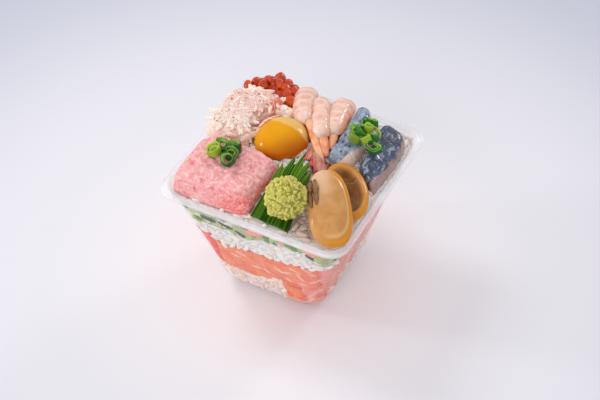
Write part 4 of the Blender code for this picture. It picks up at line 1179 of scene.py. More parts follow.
tuna_look, tree, shader, colour = food(
    "minced_tuna", "efb0ac", "e08c8a", spot=2.6, amount=0.9, wet=0.24, dry=0.45, grain=0.7, depth=0.25,
    inner=0.25, glow="ff7060", reach=1.5,
)
pale = step_node(tree, noise_node(tree, place_node(tree, (1.0, 1.5, 1.5)), 1.7, 6.0, 0.8), 0.44, 0.68)
spots = step_node(tree, noise_node(tree, place_node(tree, turn=(30.0, 10.0, 50.0)), 3.4, 5.0), 0.60, 0.70)
# The front mask tints the front face darker red, and the side beside the leaf darker: painted shade.
colour = tint(tree, shader, colour, mask_of(tree, "front"), "e46860", 0.8)
colour = tint(tree, shader, colour, pale, "f9d6d4", 0.58)
colour = tint(tree, shader, colour, spots, "dc5248", 0.6)
points, faces = mound(TUNA_OUTLINE, 260, tuna_rise, rows=70, lump=tuna_lump)
front = smooth_step(-30.0, -39.0, points[:, 1]) * smooth_step(79.0, 75.0, points[:, 2])
front *= 0.1 + 0.9 * smooth_step(-26.0, -6.0, points[:, 0])
# Painted shade: the tuna's side beside the leaf is darkened where the leaf meets it.
by_leaf = smooth_step(-3.6, -1.4, points[:, 0]) * smooth_step(78.5, 75.0, points[:, 2])
front = np.maximum(front, 1.2 * by_leaf)
dress("minced_tuna_crumbs", points, faces, tuna_look, "tuna", ["minced_tuna"], front=front)

# %% [markdown]
# ## Spring onion
# Each slice is a short hollow cylinder of leaf, and most hold a thinner one inside, as onion leaves
# do. The cut face runs from pale inside to dark green outside, so each point carries how far out it
# lies. Two groups of slices share one finish: the one on the tuna is darker and rounder, the one on
# the fish is brighter, pressed flatter, and heaped.

# %% Onion slices
# Each slice: x, y, height over the food, size, lean along x and along y.
TUNA_RINGS = (
    (-26.8, -19.2, 3.2, 1.05, 0.1, -0.3), (-22.0, -17.4, 3.0, 1.05, -0.2, 0.2),
    (-28.6, -24.2, 3.3, 1.0, -0.4, -0.2),
    (-20.8, -22.0, 3.3, 1.0, 0.5, -0.3), (-19.8, -26.8, 3.4, 0.95, -0.1, -0.7),
)
FISH_RINGS = (
    (33.4, 14.0, 2.6, 1.35, 0.1, -0.5), (28.2, 16.8, 2.7, 0.95, -0.4, 0.3), (24.2, 14.4, 2.6, 0.9, 0.5, 0.5),
    (22.6, 19.8, 2.4, 0.9, -0.3, -0.3), (25.8, 22.6, 2.6, 1.0, 0.3, 0.2), (30.6, 21.6, 2.8, 1.1, 0.2, -0.7),
    (27.4, 26.4, 2.4, 0.9, -0.2, 0.5),
    (26.2, 18.2, 4.4, 0.95, 0.7, 0.2), (29.4, 15.4, 4.0, 0.85, -0.6, 0.1), (31.2, 18.0, 3.6, 0.95, 0.2, 0.7),
    (23.6, 17.2, 2.8, 0.8, 0.4, -0.4), (25.2, 25.4, 3.2, 0.7, 0.5, 0.6), (31.6, 15.6, 3.8, 0.66, -0.5, -0.6),
    (28.0, 21.0, 4.4, 0.7, 0.2, 0.3),
)
FISH_FRONT, FISH_1_BACK, FISH_2_BACK, FISH_LENGTH = 6.0, 11.0, 9.0, 40.0
RING_RADIUS, RING_WALL, RING_LENGTH = 3.5, 0.95, 4.0
INNER_SHARE, INNER_WALL, INNER_LENGTH = 0.62, 0.6, RING_LENGTH * 0.8
ROUND_SLICES, FLAT_SLICES = (0.85, 0.95, 1.05), (0.55, 0.9, 0.7)


def fish_top(x, y):
    return bed(x, y) + FOOT + FISH_FRONT + (FISH_1_BACK - FISH_FRONT) * smooth_step(0.0, FISH_LENGTH, y)


def onion_slice(radius, wall, length, wave, squash, around=40, section=12):
    """A short tube with rounded rims about z, and how far out each of its points is."""
    turn = np.linspace(0.0, 2.0 * np.pi, around, endpoint=False)[:, None]
    cut = np.linspace(0.0, 2.0 * np.pi, section, endpoint=False)[None]
    reach = np.sign(np.cos(cut)) * np.abs(np.cos(cut)) ** 0.6
    rise = np.sign(np.sin(cut)) * np.abs(np.sin(cut)) ** 0.6
    bend = 1.0 + 0.07 * np.sin(3 * turn + wave) + 0.04 * np.sin(5 * turn + 2 * wave)
    out = (radius - wall / 2 + wall / 2 * reach) * bend
    x, y = out * np.cos(turn), out * np.sin(turn) * squash
    z = length / 2 * rise * (1.0 + 0.12 * np.sin(2 * turn + wave)) + 0.25 * np.sin(turn * 2 + wave * 3)
    points = np.stack([x, y, z], axis=-1).reshape(-1, 3)
    here = np.arange(around)[:, None] * section + np.arange(section)[None]
    after = (np.arange(around)[:, None] + 1) % around * section + np.arange(section)[None]
    next_here = np.roll(here, -1, axis=1)
    next_after = np.roll(after, -1, axis=1)
    faces = np.stack([here, after, next_after, next_here], axis=-1).reshape(-1, 4).tolist()
    return points, faces, np.broadcast_to((reach + 1.0) / 2.0, out.shape).reshape(-1)


def onion_heap(rings, top_at, squashes):
    parts = []
    masks = []
    tones = []
    for index, (x, y, rise, size, lean_x, lean_y) in enumerate(rings):
        axes = axes_from([[1.0, 0.0, -lean_x]], [[lean_x, lean_y, 1.0]])[0]
        centre = np.array([x, y, float(top_at(x, y)) + rise])
        squash = squashes[index % 3]
        for radius, wall, length in ((1.0, RING_WALL, RING_LENGTH), (INNER_SHARE, INNER_WALL, INNER_LENGTH)):
            if radius < 1.0 and index % 3 == 1:
                continue
            points, faces, far = onion_slice(RING_RADIUS * size * radius, wall, length, index * 1.7, squash)
            if radius < 1.0:
                points = points + [0.4 * math.sin(index), 0.4 * math.cos(index), -0.3]
            parts.append((points @ axes + centre, faces))
            masks.append(far if radius == 1.0 else far * 0.35)
            tones.append(np.full(len(points), (index * 0.37) % 1.0))
    points, faces = joined(*parts)
    points = points + 0.3 * wander(points, 2.2, (46, 47, 48))
    return points, faces, np.concatenate(masks), np.concatenate(tones)


onion_look, tree, shader, colour = food(
    "spring_onion", "8aca3a", "55a028", spot=2.0, amount=0.6, wet=0.1, dry=0.3, grain=0.6, depth=0.05,
    inner=0.3, glow="80ff40", reach=1.2, coat=0.3,
)
rind = mask_of(tree, "rind")
colour = tint(tree, shader, colour, step_node(tree, rind, 0.25, 0.05), "d6e89a", 0.6)
colour = tint(tree, shader, colour, step_node(tree, rind, 0.45, 0.8), "2a6a1a")
veins = step_node(tree, noise_node(tree, place_node(tree, (4.0, 4.0, 0.8)), 1.0, 2.0), 0.45, 0.7)
colour = tint(tree, shader, colour, veins, "1c5414", 0.25)
colour = tint(tree, shader, colour, mask_of(tree, "deep"), "143c10")
yellowed = step_node(tree, mask_of(tree, "age"), 0.60, 0.90)
colour = tint(tree, shader, colour, yellowed, "c2cc3c", 0.6)
for name, node, rings, top_at, squashes, darker in (
    ("onion_slices_tuna", "onion_rings_tuna", TUNA_RINGS, tuna_top, ROUND_SLICES, 0.6),
    ("onion_slices_fish", "onion_rings_fish", FISH_RINGS, fish_top, FLAT_SLICES, 0.0),
):
    points, faces, rind, age = onion_heap(rings, top_at, squashes)
    if darker:
        rind = np.clip(1.5 * rind, 0.0, 1.0)
        age = np.where(age > 0.7, 0.9, 0.2)
    deep = darker * smooth_step(0.2, 0.7, rind) * (age < 0.6)
    dress(name, points, faces, onion_look, "spring_onion", [node], rind=rind, age=age, deep=deep)

# %% [markdown]
# ## Crab meat
# Picked crab falls into lumps and shreds made of long fibres, white inside and pink where the
# shell was. A low core keeps the heap closed, ridged lumps are pressed into it, and thin shreds lie
# over them. Some shreds hang over the edge of the yolk, and three red ones lie near the roe. Each
# lump and shred carries its own tone and a coordinate round it, which the finish turns into fibres.

# %% Crab heap
CRAB_OUTLINE = (
    (-42.8, -5.6), (-43.4, 6.0), (-43.2, 16.0), (-40.6, 23.6), (-33.0, 27.4), (-25.0, 27.6), (-18.0, 25.0),
    (-17.6, 19.8), (-22.4, 15.0), (-24.6, 8.0), (-24.2, 1.0), (-21.4, -4.4), (-26.0, -6.4), (-35.0, -7.4),
)
CRAB_TOP, CRAB_SHOULDER = 80.8, 4.5
CRAB_LEAN = (-2.4, 0.6)
PINK_BEHIND = 9.0
CRAB_CHUNKS, CRAB_SHREDS = 150, 170
crab_middle = np.array([-34.0, 10.0])


def crab_rise(x, y, inward):
    return FOOT + (CRAB_TOP - 0.9 - bed(x, y) - FOOT) * rounded(inward, CRAB_SHOULDER)


def crab_lump(place):
    return np.column_stack([
        0.5 * noise_at(place, 4.0, 51), 0.5 * noise_at(place, 4.0, 52), 0.8 * rough_noise(place, 5.0, 53, 3),
    ])


core_points, core_faces = mound(CRAB_OUTLINE, 140, crab_rise, CRAB_LEAN, rows=30, lump=crab_lump)
crab_tree = BVHTree.FromPolygons([Vector(point) for point in core_points], core_faces)
parts = [(core_points, core_faces)]
crab_masks = [(np.full(len(core_points), 0.15), core_points[:, 0] * 0.4 + core_points[:, 2] * 0.3)]
YOLK_CENTRE = np.array([-8.8, 4.8, 75.4])
YOLK_RADIUS, YOLK_RISE = 12.8, 8.4


def crab_surface(x, y):
    """Height of the heap at a spot, or of the yolk beside it."""
    hit = crab_tree.ray_cast(Vector((x, y, 120.0)), Vector((0.0, 0.0, -1.0)))[0]
    out = 1.0 - ((x - YOLK_CENTRE[0]) ** 2 + (y - YOLK_CENTRE[1]) ** 2) / YOLK_RADIUS ** 2
    yolk = YOLK_CENTRE[2] + YOLK_RISE * math.sqrt(out) if out > 0.0 else 0.0
    return max(hit.z if hit else float(bed(x, y)) + 1.0, yolk)


# %% Crab lumps
chunk_ball, chunk_faces = ball(3)
round_chunk = np.arctan2(chunk_ball[:, 2], chunk_ball[:, 1])
ridges = np.sin(7.0 * round_chunk + 2.5 * chunk_ball[:, 0])
thread = 1.0 + 0.16 * ridges * np.sqrt(1.0 - chunk_ball[:, 0] ** 2)
chunk_shape = chunk_ball * np.column_stack([np.ones(len(thread)), thread, thread])
crab_outline = smooth_line(CRAB_OUTLINE, 80, closed=True)
centres = []
ups = []
for _ in range(CRAB_CHUNKS):
    edge_point = crab_outline[random_draw.integers(80)]
    spot = crab_middle + (edge_point - crab_middle) * math.sqrt(random_draw.uniform(0.0, 0.88))
    hit, normal = crab_tree.ray_cast(Vector((*spot, 120.0)), Vector((0.0, 0.0, -1.0)))[:2]
    if hit:
        centres.append(hit[:])
        ups.append(normal[:] if normal.z > 0.0 else (-normal)[:])
centres, ups = np.array(centres), np.array(ups)
lie = 3.0 * noise_at(centres, 9.0, 50) + random_draw.normal(0.0, 0.5, len(centres))
chunk_along = np.column_stack([np.cos(lie), np.sin(lie), 0.1 * np.sin(3.0 * lie)])
chunk_sizes = random_draw.uniform((2.4, 0.9, 0.8), (5.2, 1.9, 1.3), (len(centres), 3))
chunk_tones = random_draw.choice([0.0, 0.2, 0.5], size=len(centres), p=[0.5, 0.3, 0.2])
chunk_tones = np.where((centres[:, 1] > PINK_BEHIND) & (chunk_tones > 0.1), 0.6, 0.4 * chunk_tones)
# The three white lumps behind the yolk: place, then half sizes.
BIG_CHUNKS = (
    (-17.0, 20.8, 77.0, 4.0, 3.0, 2.6), (-13.9, 21.6, 76.4, 3.2, 2.8, 2.4),
    (-14.6, 18.8, 75.6, 3.4, 2.2, 2.2),
)
centres = np.vstack([centres, [chunk[:3] for chunk in BIG_CHUNKS]])
ups = np.vstack([ups, np.tile([0.0, 0.0, 1.0], (3, 1))])
chunk_along = np.vstack([chunk_along, [(0.6, 0.7, 0.0), (0.9, -0.3, 0.0), (1.0, -0.4, 0.0)]])
chunk_sizes = np.vstack([chunk_sizes, [chunk[3:] for chunk in BIG_CHUNKS]])
chunk_tones = np.append(chunk_tones, [0.0, 0.05, 0.0])
points, faces = scatter(chunk_shape, chunk_faces, centres, axes_from(chunk_along, ups), chunk_sizes)
points = points + 0.4 * wander(points, 2.8, (54, 55, 56)) + 0.3 * wander(points, 1.2, (57, 58, 59))
parts.append((points, faces))
chunk_start = spread(random_draw.uniform(0.0, 50.0, len(centres)), len(chunk_ball))
chunk_fibre = np.tile(1.3 * round_chunk, len(centres)) + chunk_start
crab_masks.append((spread(chunk_tones, len(chunk_ball)), chunk_fibre))


def shred(x, y, turn, length, width, thick, tone, lift):
    """Adds one curled shred that lies on the heap, its middle at (x, y)."""
    steps = 12
    share = np.linspace(-0.5, 0.5, steps)
    curl = math.radians(turn) + share * random_draw.normal(0.0, 0.9)
    path_x = x + np.cumsum(np.cos(curl)) * length / steps - math.cos(math.radians(turn)) * length / 2
    path_y = y + np.cumsum(np.sin(curl)) * length / steps - math.sin(math.radians(turn)) * length / 2
    path_z = np.array([crab_surface(a, b) for a, b in zip(path_x, path_y)])
    for _ in range(3):
        path_z = np.convolve(np.pad(path_z, 1, mode="edge"), [0.25, 0.5, 0.25], mode="valid")
    taper = (1.0 - np.abs(2.0 * share) ** 3) ** 0.5 + 0.12
    points, faces = sweep(
        np.column_stack([path_x, path_y, path_z + lift]), width * taper, thick * taper, 9,
        (random_draw.normal(0.0, 0.3), random_draw.normal(0.0, 0.3), 1.0))
    points = points + 0.14 * wander(points, 1.3, (54, 55, 56))
    parts.append((points, faces))
    across_it = np.append(np.tile(np.arange(9) / 9.0, steps), [0.0, 0.0])
    crab_masks.append((np.full(len(points), tone), across_it * 4.0 + random_draw.uniform(0.0, 50.0)))


for _ in range(CRAB_SHREDS):
    edge_point = crab_outline[random_draw.integers(80)]
    spot = crab_middle + (edge_point - crab_middle) * math.sqrt(random_draw.uniform(0.0, 0.62))
    tone = random_draw.choice([0.0, 0.2, 0.4] if spot[1] < PINK_BEHIND else [0.0, 0.5, 0.8])
    turn = random_draw.uniform(0, 180)
    length = random_draw.uniform(5.0, 10.0)
    width, thick = random_draw.uniform(0.5, 1.1), random_draw.uniform(0.5, 0.9)
    shred(spot[0], spot[1], turn, length, width, thick, tone, 1.1)
for x, y, turn in (
    (-21.4, 8.0, 20), (-20.6, 11.0, 10), (-20.4, 4.0, 25), (-22.4, 1.0, 5), (-19.4, 13.6, 45),
    (-20.0, 6.0, 35),
    (-21.0, 9.6, -5), (-19.6, 12.2, 25), (-23.4, 5.4, 10), (-22.2, 10.6, -20), (-24.0, 8.0, 20),
    (-21.6, 2.4, 40), (-18.8, 15.4, 60), (-22.8, 12.4, 35),
):
    shred(x, y, turn, 10.0, 0.8, 0.7, 0.5, 0.8)
for x, y, turn in ((-20.4, 19.8, 300), (-21.2, 18.6, 296), (-19.6, 18.0, 306)):
    shred(x, y, turn, 9.0, 2.2, 1.7, 1.0, 1.7)
points, faces = joined(*parts)
tone, fibre = (np.concatenate(part) for part in zip(*crab_masks))
crab_look, tree, shader, colour = food(
    "crab", "ffefe2", "fccdb8", spot=3.0, amount=0.7, wet=0.25, dry=0.5, grain=0.6, depth=0.1,
    inner=0.25, glow="ffc8b0", reach=1.2,
)
fibres = tree.nodes.new("ShaderNodeTexNoise")
fibres.noise_dimensions = "1D"
tree.links.new(mask_of(tree, "fibre"), fibres.inputs["W"])
fibres.inputs["Scale"].default_value = 2.4
lines = step_node(tree, fibres.outputs[0], 0.42, 0.62)
colour = tint(tree, shader, colour, mask_of(tree, "tone"), "f2a498", 0.9)
colour = tint(tree, shader, colour, step_node(tree, mask_of(tree, "tone"), 0.8, 1.0), "e0705c")
colour = tint(tree, shader, colour, lines, "fff6ee", 0.3)
specks = step_node(tree, noise_node(tree, place_node(tree), 1.5, 1.0), 0.63, 0.70)
colour = tint(tree, shader, colour, specks, "d8965e", 0.7)
dress("crab_flakes", points, faces, crab_look, "crab", ["crab_heap"], tone=tone, fibre=fibre)

# %% [markdown]
# ## Salmon roe
# Ripe eggs are five millimetre beads, clear and glossy, with a darker yolk inside. They are heaped
# three deep on a low ridge in the back corner. Each bead is a fine ball under a hard clear coat,
# which gives the sharp highlight of a wet skin. Light that enters a clear bead gathers at its far
# side, so the side away from the lamp is painted brighter.

# %% Roe beads
ROE_LINE = ((-38.6, 30.5), (-35.4, 34.0), (-30.5, 36.6), (-25.6, 37.0), (-22.2, 34.6), (-20.4, 31.0))
ROE_RADIUS, ROE_BED, ROE_TOP = 2.5, 4.6, 79.8
FROM_LAMP = (0.70, -0.57, -0.44)
ridge = smooth_line(ROE_LINE, 30)
ridge_path = np.column_stack([ridge, bed(ridge[:, 0], ridge[:, 1]) + ROE_BED - 0.4])
swell = np.sin(np.linspace(0.12, 1.0, 30) * np.pi * 0.92) ** 0.6
core_points, core_faces = sweep(ridge_path, 7.4 * swell, 7.6 * swell, 18)
bead_centres = []
for layer, (crown, spread_out, share) in enumerate(((-0.2, 4.0, 22), (1.5, 2.6, 18), (2.8, 1.0, 12))):
    for index in range(share):
        place = ridge[int((index + 0.5 * layer) / share * 29) % 30]
        side = spread_out * (1.0 if index % 2 else -1.0) * random_draw.uniform(0.7, 1.0)
        x, y = place[0] + side * 0.5, place[1] + side * 0.8
        peak = 2.2 * math.exp(-((x + 28.0) / 2.4) ** 2) * (0.1, 0.5, 1.0)[layer]
        end_drop = 1.2 * abs(index / share - 0.5) ** 2 * 4.0
        z = float(bed(x, y)) + ROE_BED + crown + peak - end_drop + random_draw.uniform(-0.3, 0.3)
        if abs(x) < 41.6 and y < 41.6:
            bead_centres.append((x, y, z))
bead_centres = np.array(bead_centres)
for _ in range(12):
    gap = bead_centres[:, None] - bead_centres[None]
    near = np.linalg.norm(gap, axis=-1) + np.eye(len(bead_centres)) * 99.0
    push = np.maximum(0.0, 2.0 * ROE_RADIUS * 0.84 - near) * 0.25
    bead_centres += (gap / near[..., None] * push[..., None]).sum(axis=1) * [1.0, 1.0, 0.35]
bead_centres[:, :2] = np.clip(bead_centres[:, :2], -40.6, 40.6)
bead_centres[:, 2] = np.minimum(bead_centres[:, 2], ROE_TOP)
sizes = ROE_RADIUS * random_draw.uniform(0.96, 1.18, (len(bead_centres), 3))
bead_along = random_draw.normal(size=(len(bead_centres), 3))
bead_up = random_draw.normal(size=(len(bead_centres), 3))
bead_axes = axes_from(bead_along, bead_up)
bead_points, bead_faces = scatter(unit_ball, ball_faces, bead_centres, bead_axes, sizes)
from_centre = bead_points - np.repeat(bead_centres, len(unit_ball), axis=0)
far_side = from_centre @ np.array(FROM_LAMP) / ROE_RADIUS
bead_points = bead_points + 0.4 * wander(bead_points, 2.6, (57, 58, 59))
points, faces = joined((core_points, core_faces), (bead_points, bead_faces))
clear_beads = np.append(np.zeros(len(core_points)), spread(
    random_draw.uniform(0.0, 1.0, len(bead_centres)), len(unit_ball)))
germ_spot = smooth_step(0.70, 0.92, unit_ball[:, 0])
germ = np.append(np.zeros(len(core_points)), np.tile(germ_spot, len(bead_centres)))
glow = np.append(np.zeros(len(core_points)), smooth_step(0.25, 1.0, far_side))
roe_look, tree, shader, colour = food(
    "salmon_roe", "cc3600", "9c1c00", spot=4.0, amount=0.9, wet=0.05, dry=0.12, grain=1.4, depth=0.03,
    coat=0.7, shine=0.25, inner=0.1, glow="ff5020", reach=1.0,
)
colour = tint(tree, shader, colour, mask_of(tree, "clear"), "dc5208", 0.5)
colour = tint(tree, shader, colour, mask_of(tree, "glow"), "ff8418", 0.8)
colour = tint(tree, shader, colour, mask_of(tree, "germ"), "9c1c02", 0.6)
dress("roe_beads", points, faces, roe_look, "roe", ["salmon_roe"], germ=germ, clear=clear_beads, glow=glow)

# %% [markdown]
# ## Egg yolk
# A raw yolk is a flattened ball in a thin wet skin. It sags most at its foot, so the side is
# rounder than the top, and a little more towards the front. The skin is smooth, so the shape is a
# fine dome and the coat does the rest. Its low front right side is darkened as painted shade, and a
# pale band at the back is a painted reflection of the light behind.

# %% Yolk
YOLK_AROUND = 96
turn = np.linspace(0.0, 2.0 * np.pi, YOLK_AROUND, endpoint=False)
yolk_rings = []
for height in np.sin(np.linspace(-0.42, 0.497, 44) * np.pi):
    girth = YOLK_RADIUS * math.sqrt(1.0 - height * height)
    sag = 0.11 * smooth_step(0.0, 1.0, -np.sin(turn + 0.3)) * smooth_step(0.9, 0.0, height)
    forward = girth * np.sin(turn) * (1.0 + sag)
    level = np.full(YOLK_AROUND, YOLK_RISE * height)
    yolk_rings.append(np.column_stack([girth * np.cos(turn), forward, level]))
points, faces = loft(yolk_rings)
points = points + YOLK_CENTRE
points[:, 2] = np.maximum(points[:, 2], bed(points[:, 0], points[:, 1]) + GAP)
# Painted shade: the yolk is darkened on its side away from the lamps, low at the front right.
away = (points - YOLK_CENTRE) @ np.array([0.65, -0.55, -0.6]) / YOLK_RADIUS
yolk_look, tree, shader, colour = food(
    "egg_yolk", "e29c08", "d88c04", spot=9.0, amount=0.5, wet=0.05, dry=0.12, grain=2.5, depth=0.02,
    coat=0.14, inner=0.1, glow="ff9010", reach=2.0, shine=0.1,
)
# The low mask is painted shade.
colour = tint(tree, shader, colour, mask_of(tree, "low"), "b85602")
# The film mask is a painted reflection: a pale band along the back of the dome.
colour = tint(tree, shader, colour, mask_of(tree, "film"), "e6be72")
behind = (points - YOLK_CENTRE) @ np.array([0.05, 1.0, 0.0]) / YOLK_RADIUS
across = (points - YOLK_CENTRE) @ np.array([0.89, 0.46, 0.0]) / YOLK_RADIUS
height = (points[:, 2] - YOLK_CENTRE[2]) / YOLK_RISE
# Painted reflection of the light behind: a pale band along the back of the dome.
film = smooth_step(0.12, 0.20, behind + 0.04 * noise_at(points, 3.0, 68)) * smooth_step(0.98, 0.88, behind)
film *= smooth_step(-0.1, 0.2, height) * smooth_step(-0.6, -0.3, across)
dress("yolk_dome", points, faces, yolk_look, "yolk", ["egg_yolk"],
      low=0.9 * smooth_step(-0.25, 0.8, away), film=0.75 * film)

# %% [markdown]
# ## Sweet prawns
# Peeled raw prawns are pale and glassy, ringed by the joints of the tail, and each ends in a peach
# tail joint. The nearest one still shows its red fan. A body is one sweep whose width and height
# dip a little at every joint. The tail joint and the blades of the fan are thin sweeps joined on.

# %% Prawn places
PRAWN_THICK = 11.0
# Each prawn: name, line of the body, its width at both ends, line of the tail, blades of the fan.
# A line's third number is the height over the rice.
PRAWNS = (
    (
        "prawn_1", ((-13.6, 40.6, 0.0), (-11.8, 35.0, 0.4), (-9.0, 27.6, 0.4), (-5.2, 20.6, 0.0)),
        (11.0, 7.6),
        ((-4.6, 20.4, 4.7), (2.4, 13.5, 4.9), (8.6, 6.0, 3.8), (15.8, -1.4, 2.8)),
        (
            ((6.0, 9.4, 2.4), (7.6, 3.8, 2.0), (8.6, -2.2, 1.6)),
            ((7.8, 7.2, 2.6), (10.8, 1.8, 1.8), (12.6, -4.4, 1.4)),
            ((9.4, 3.4, 3.8), (13.4, -2.0, 3.6), (17.0, -7.4, 3.0)),
            ((11.6, 2.0, 3.6), (15.6, -3.2, 3.4), (19.0, -7.8, 2.8)),
        ),
    ),
    (
        "prawn_2", ((-3.2, 35.2, 0.0), (-1.2, 30.4, 0.4), (2.4, 22.6, 0.4), (6.3, 15.3, 0.0)), (7.6, 6.6),
        ((6.6, 15.8, 4.4), (9.8, 10.8, 4.2), (12.6, 6.8, 3.6), (15.2, 3.2, 2.8)), (),
    ),
    (
        "prawn_3", ((6.6, 41.2, 0.0), (7.2, 36.0, 0.2), (8.8, 28.6, 0.2), (11.0, 21.0, 0.0)), (10.4, 7.0),
        ((10.8, 22.2, 4.2), (12.4, 16.6, 4.2), (13.8, 12.2, 3.6), (14.8, 8.6, 2.8)), (),
    ),
)
TAIL_WIDTHS, TAIL_HEIGHTS = (3.6, 4.32, 4.32, 3.6, 2.16), (3.52, 4.18, 3.52, 2.42, 1.32)
BLADE_WIDTHS, BLADE_HEIGHTS = (1.6, 2.72, 3.04, 1.28), (0.9, 0.9, 0.81, 0.63)
BODY_STEPS, BODY_AROUND = 84, 34
TAIL_STEPS, TAIL_AROUND = 30, 16
BLADE_STEPS, BLADE_AROUND = 20, 10
JOINTS = 6
PLUMP, BLUSH = (1.2, 1.42, 1.3), (0.55, 0.75, 1.0)


def over_bed(line, count):
    path = smooth_line(line, count)
    path[:, 2] += bed(path[:, 0], path[:, 1])
    return path


def stretched(values, count):
    return np.interp(np.linspace(0, 1, count), np.linspace(0, 1, len(values)), values)


# %% Prawn finish
prawn_look, tree, shader, colour = food(
    "prawn", "ecc6b4", "d89c84", spot=5.0, amount=0.7, wet=0.1, dry=0.3, grain=1.2, depth=0.06,
    inner=0.5, glow="ffa890", reach=3.0, coat=0.25,
)
along = mask_of(tree, "along")
wave = math_node(tree, "SINE", math_node(tree, "MULTIPLY", along, 2.0 * math.pi * JOINTS))
bands = math_node(tree, "MULTIPLY", step_node(tree, wave, -0.2, 0.9), 0.4)
colour = tint(tree, shader, colour, bands, "f8dcd2")
colour = tint(tree, shader, colour, mask_of(tree, "blush"), "ee9c66", 0.8)
tail_code = mix_node(tree, step_node(tree, noise_node(tree, place_node(tree), 3.2, 2.0), 0.4, 0.65),
                     paint("f9b48c"), paint("f08c5e"))
colour = mix_node(tree, mask_of(tree, "tail"), colour, tail_code)
tree.links.new(colour, shader.inputs["Base Color"])
colour = tint(tree, shader, colour, mask_of(tree, "fan"), "e65560")

# %% Prawn bodies, tails and fans
for index, (name, body, widths, tail, blades) in enumerate(PRAWNS):
    before_last, last = np.array(body[-2]), np.array(body[-1])
    path = smooth_line([*body, last + 0.25 * (last - before_last)], BODY_STEPS)
    share = np.linspace(0.0, 1.0, BODY_STEPS)
    taper = np.minimum(1.0, np.minimum(0.62 + 2.4 * share, 0.72 + 2.4 * (1.0 - share)))
    ends = np.sqrt(np.clip(1.0 - (2.0 * share - 1.0) ** 14, 0.03, 1.0))
    joint = 1.0 - 0.025 * np.abs(np.cos(share * np.pi * JOINTS)) ** 6
    high = PRAWN_THICK * taper * joint * ends
    wide = PLUMP[index] * (widths[0] + (widths[1] - widths[0]) * share) * taper * joint * ends
    path[:, 2] += bed(path[:, 0], path[:, 1]) + GAP + PRAWN_THICK * taper / 2
    points, faces = sweep(path, wide, high, BODY_AROUND)
    ring_share = np.append(np.repeat(share, BODY_AROUND), [0.0, 1.0])
    ring_turn = np.linspace(0.0, 2.0 * np.pi, BODY_AROUND, endpoint=False)
    turn = np.append(np.tile(ring_turn, BODY_STEPS), [0.0, 0.0])
    groove = 0.35 * np.exp(-((turn - np.pi * 0.5) / 0.16) ** 2)
    points[:, 2] -= groove
    points = points + 0.22 * wander(points, 4.0, (61, 62, 63))
    points[:, 2] = np.maximum(points[:, 2], bed(points[:, 0], points[:, 1]) + GAP)
    blush = smooth_step(0.2, 1.0, np.cos(turn)) * smooth_step(0.25, 0.8, ring_share) * BLUSH[index]
    parts = [(points, faces)]
    masks = [(ring_share, blush, np.zeros(len(points)), np.zeros(len(points)))]
    tail_path = over_bed(tail, TAIL_STEPS)
    tail_path[:, 2] += np.linspace(2.6, 0.2, TAIL_STEPS)
    tail_points, tail_faces = sweep(
        tail_path, stretched(TAIL_WIDTHS, TAIL_STEPS), stretched(TAIL_HEIGHTS, TAIL_STEPS), TAIL_AROUND)
    tail_turn = np.append(np.tile(np.arange(TAIL_AROUND), TAIL_STEPS), [0, 0]) * 2.0 * np.pi / TAIL_AROUND
    tail_points[:, 2] += 0.14 * np.cos(5.0 * tail_turn)
    parts.append((tail_points, tail_faces))
    tail_share = np.append(np.repeat(np.linspace(0.0, 1.0, TAIL_STEPS), TAIL_AROUND), [0.0, 1.0])
    zeros = np.zeros(len(tail_points))
    masks.append((zeros, zeros, smooth_step(0.0, 0.15, tail_share), 0.5 * smooth_step(0.8, 1.0, tail_share)))
    for blade in blades:
        for side, lift in ((-1.0, 0.0), (0.0, 0.35), (1.0, 0.1)):
            line = np.array(blade) + np.outer([0.0, 0.5, 1.0], [1.5 * side, 0.5 * side, lift + 0.5])
            blade_points, blade_faces = sweep(
                over_bed(line, BLADE_STEPS), stretched(BLADE_WIDTHS, BLADE_STEPS),
                stretched(BLADE_HEIGHTS, BLADE_STEPS), BLADE_AROUND)
            parts.append((blade_points, blade_faces))
            fan_share = np.append(np.repeat(np.linspace(0.0, 1.0, BLADE_STEPS), BLADE_AROUND), [0.0, 1.0])
            zeros = np.zeros(len(blade_points))
            strength = 0.9 if side else 0.35
            masks.append((zeros, zeros, zeros + 1.0, strength * smooth_step(0.1, 0.6, fan_share)))
    points, faces = joined(*parts)
    along, blush, tail_mask, fan = (np.concatenate(part) for part in zip(*masks))
    dress(name + "_flesh", points, faces, prawn_look, "prawn", [name],
          along=along, blush=blush, tail=tail_mask, fan=fan)

# %% [markdown]
# ## Silver-skinned fish
# Two slices of cured fish lie skin side up. The skin is blue-grey and shines like metal, with rows
# of dark spots, and the cut flesh shows pale and pink along the edge of each slice. The slice is a
# low mound with a score line or two in it. Skin, flesh and marks are masks worked out from how far
# a point lies from the edge of its slice.

# %% Fish places
FISH_1_OUTLINE = (
    (14.2, 36.0), (14.8, 40.6), (17.6, 42.4), (20.6, 40.4), (24.0, 34.0), (26.6, 26.0), (28.0, 18.0),
    (28.4, 10.0),
    (26.6, 3.0), (20.4, 1.0), (16.4, 2.9), (16.4, 9.0), (15.0, 16.0), (14.4, 24.0),
)
FISH_2_OUTLINE = (
    (29.0, 35.0), (31.0, 37.8), (35.0, 37.4), (39.4, 35.4), (42.6, 31.0), (43.2, 22.0), (43.2, 11.0),
    (42.8, 3.0),
    (42.0, -2.6), (37.6, -0.6), (32.6, 3.4), (30.2, 8.0), (30.2, 15.0), (29.0, 25.0),
)
FISH_SHOULDER = 5.0
FISH_1_RIGHT = (
    (1.6, 25.0), (3.0, 26.6), (10.0, 28.4), (18.0, 28.0), (26.0, 26.6), (34.0, 24.0), (40.4, 20.6),
)
FISH_1_LEFT = ((3.0, 16.4), (9.0, 16.4), (16.0, 15.0), (24.0, 14.4), (36.0, 14.2), (41.0, 15.4))
FISH_2_RIGHT = ((-2.6, 42.0), (3.0, 42.8), (11.0, 43.2), (22.0, 43.2), (31.0, 42.6), (35.4, 39.4))
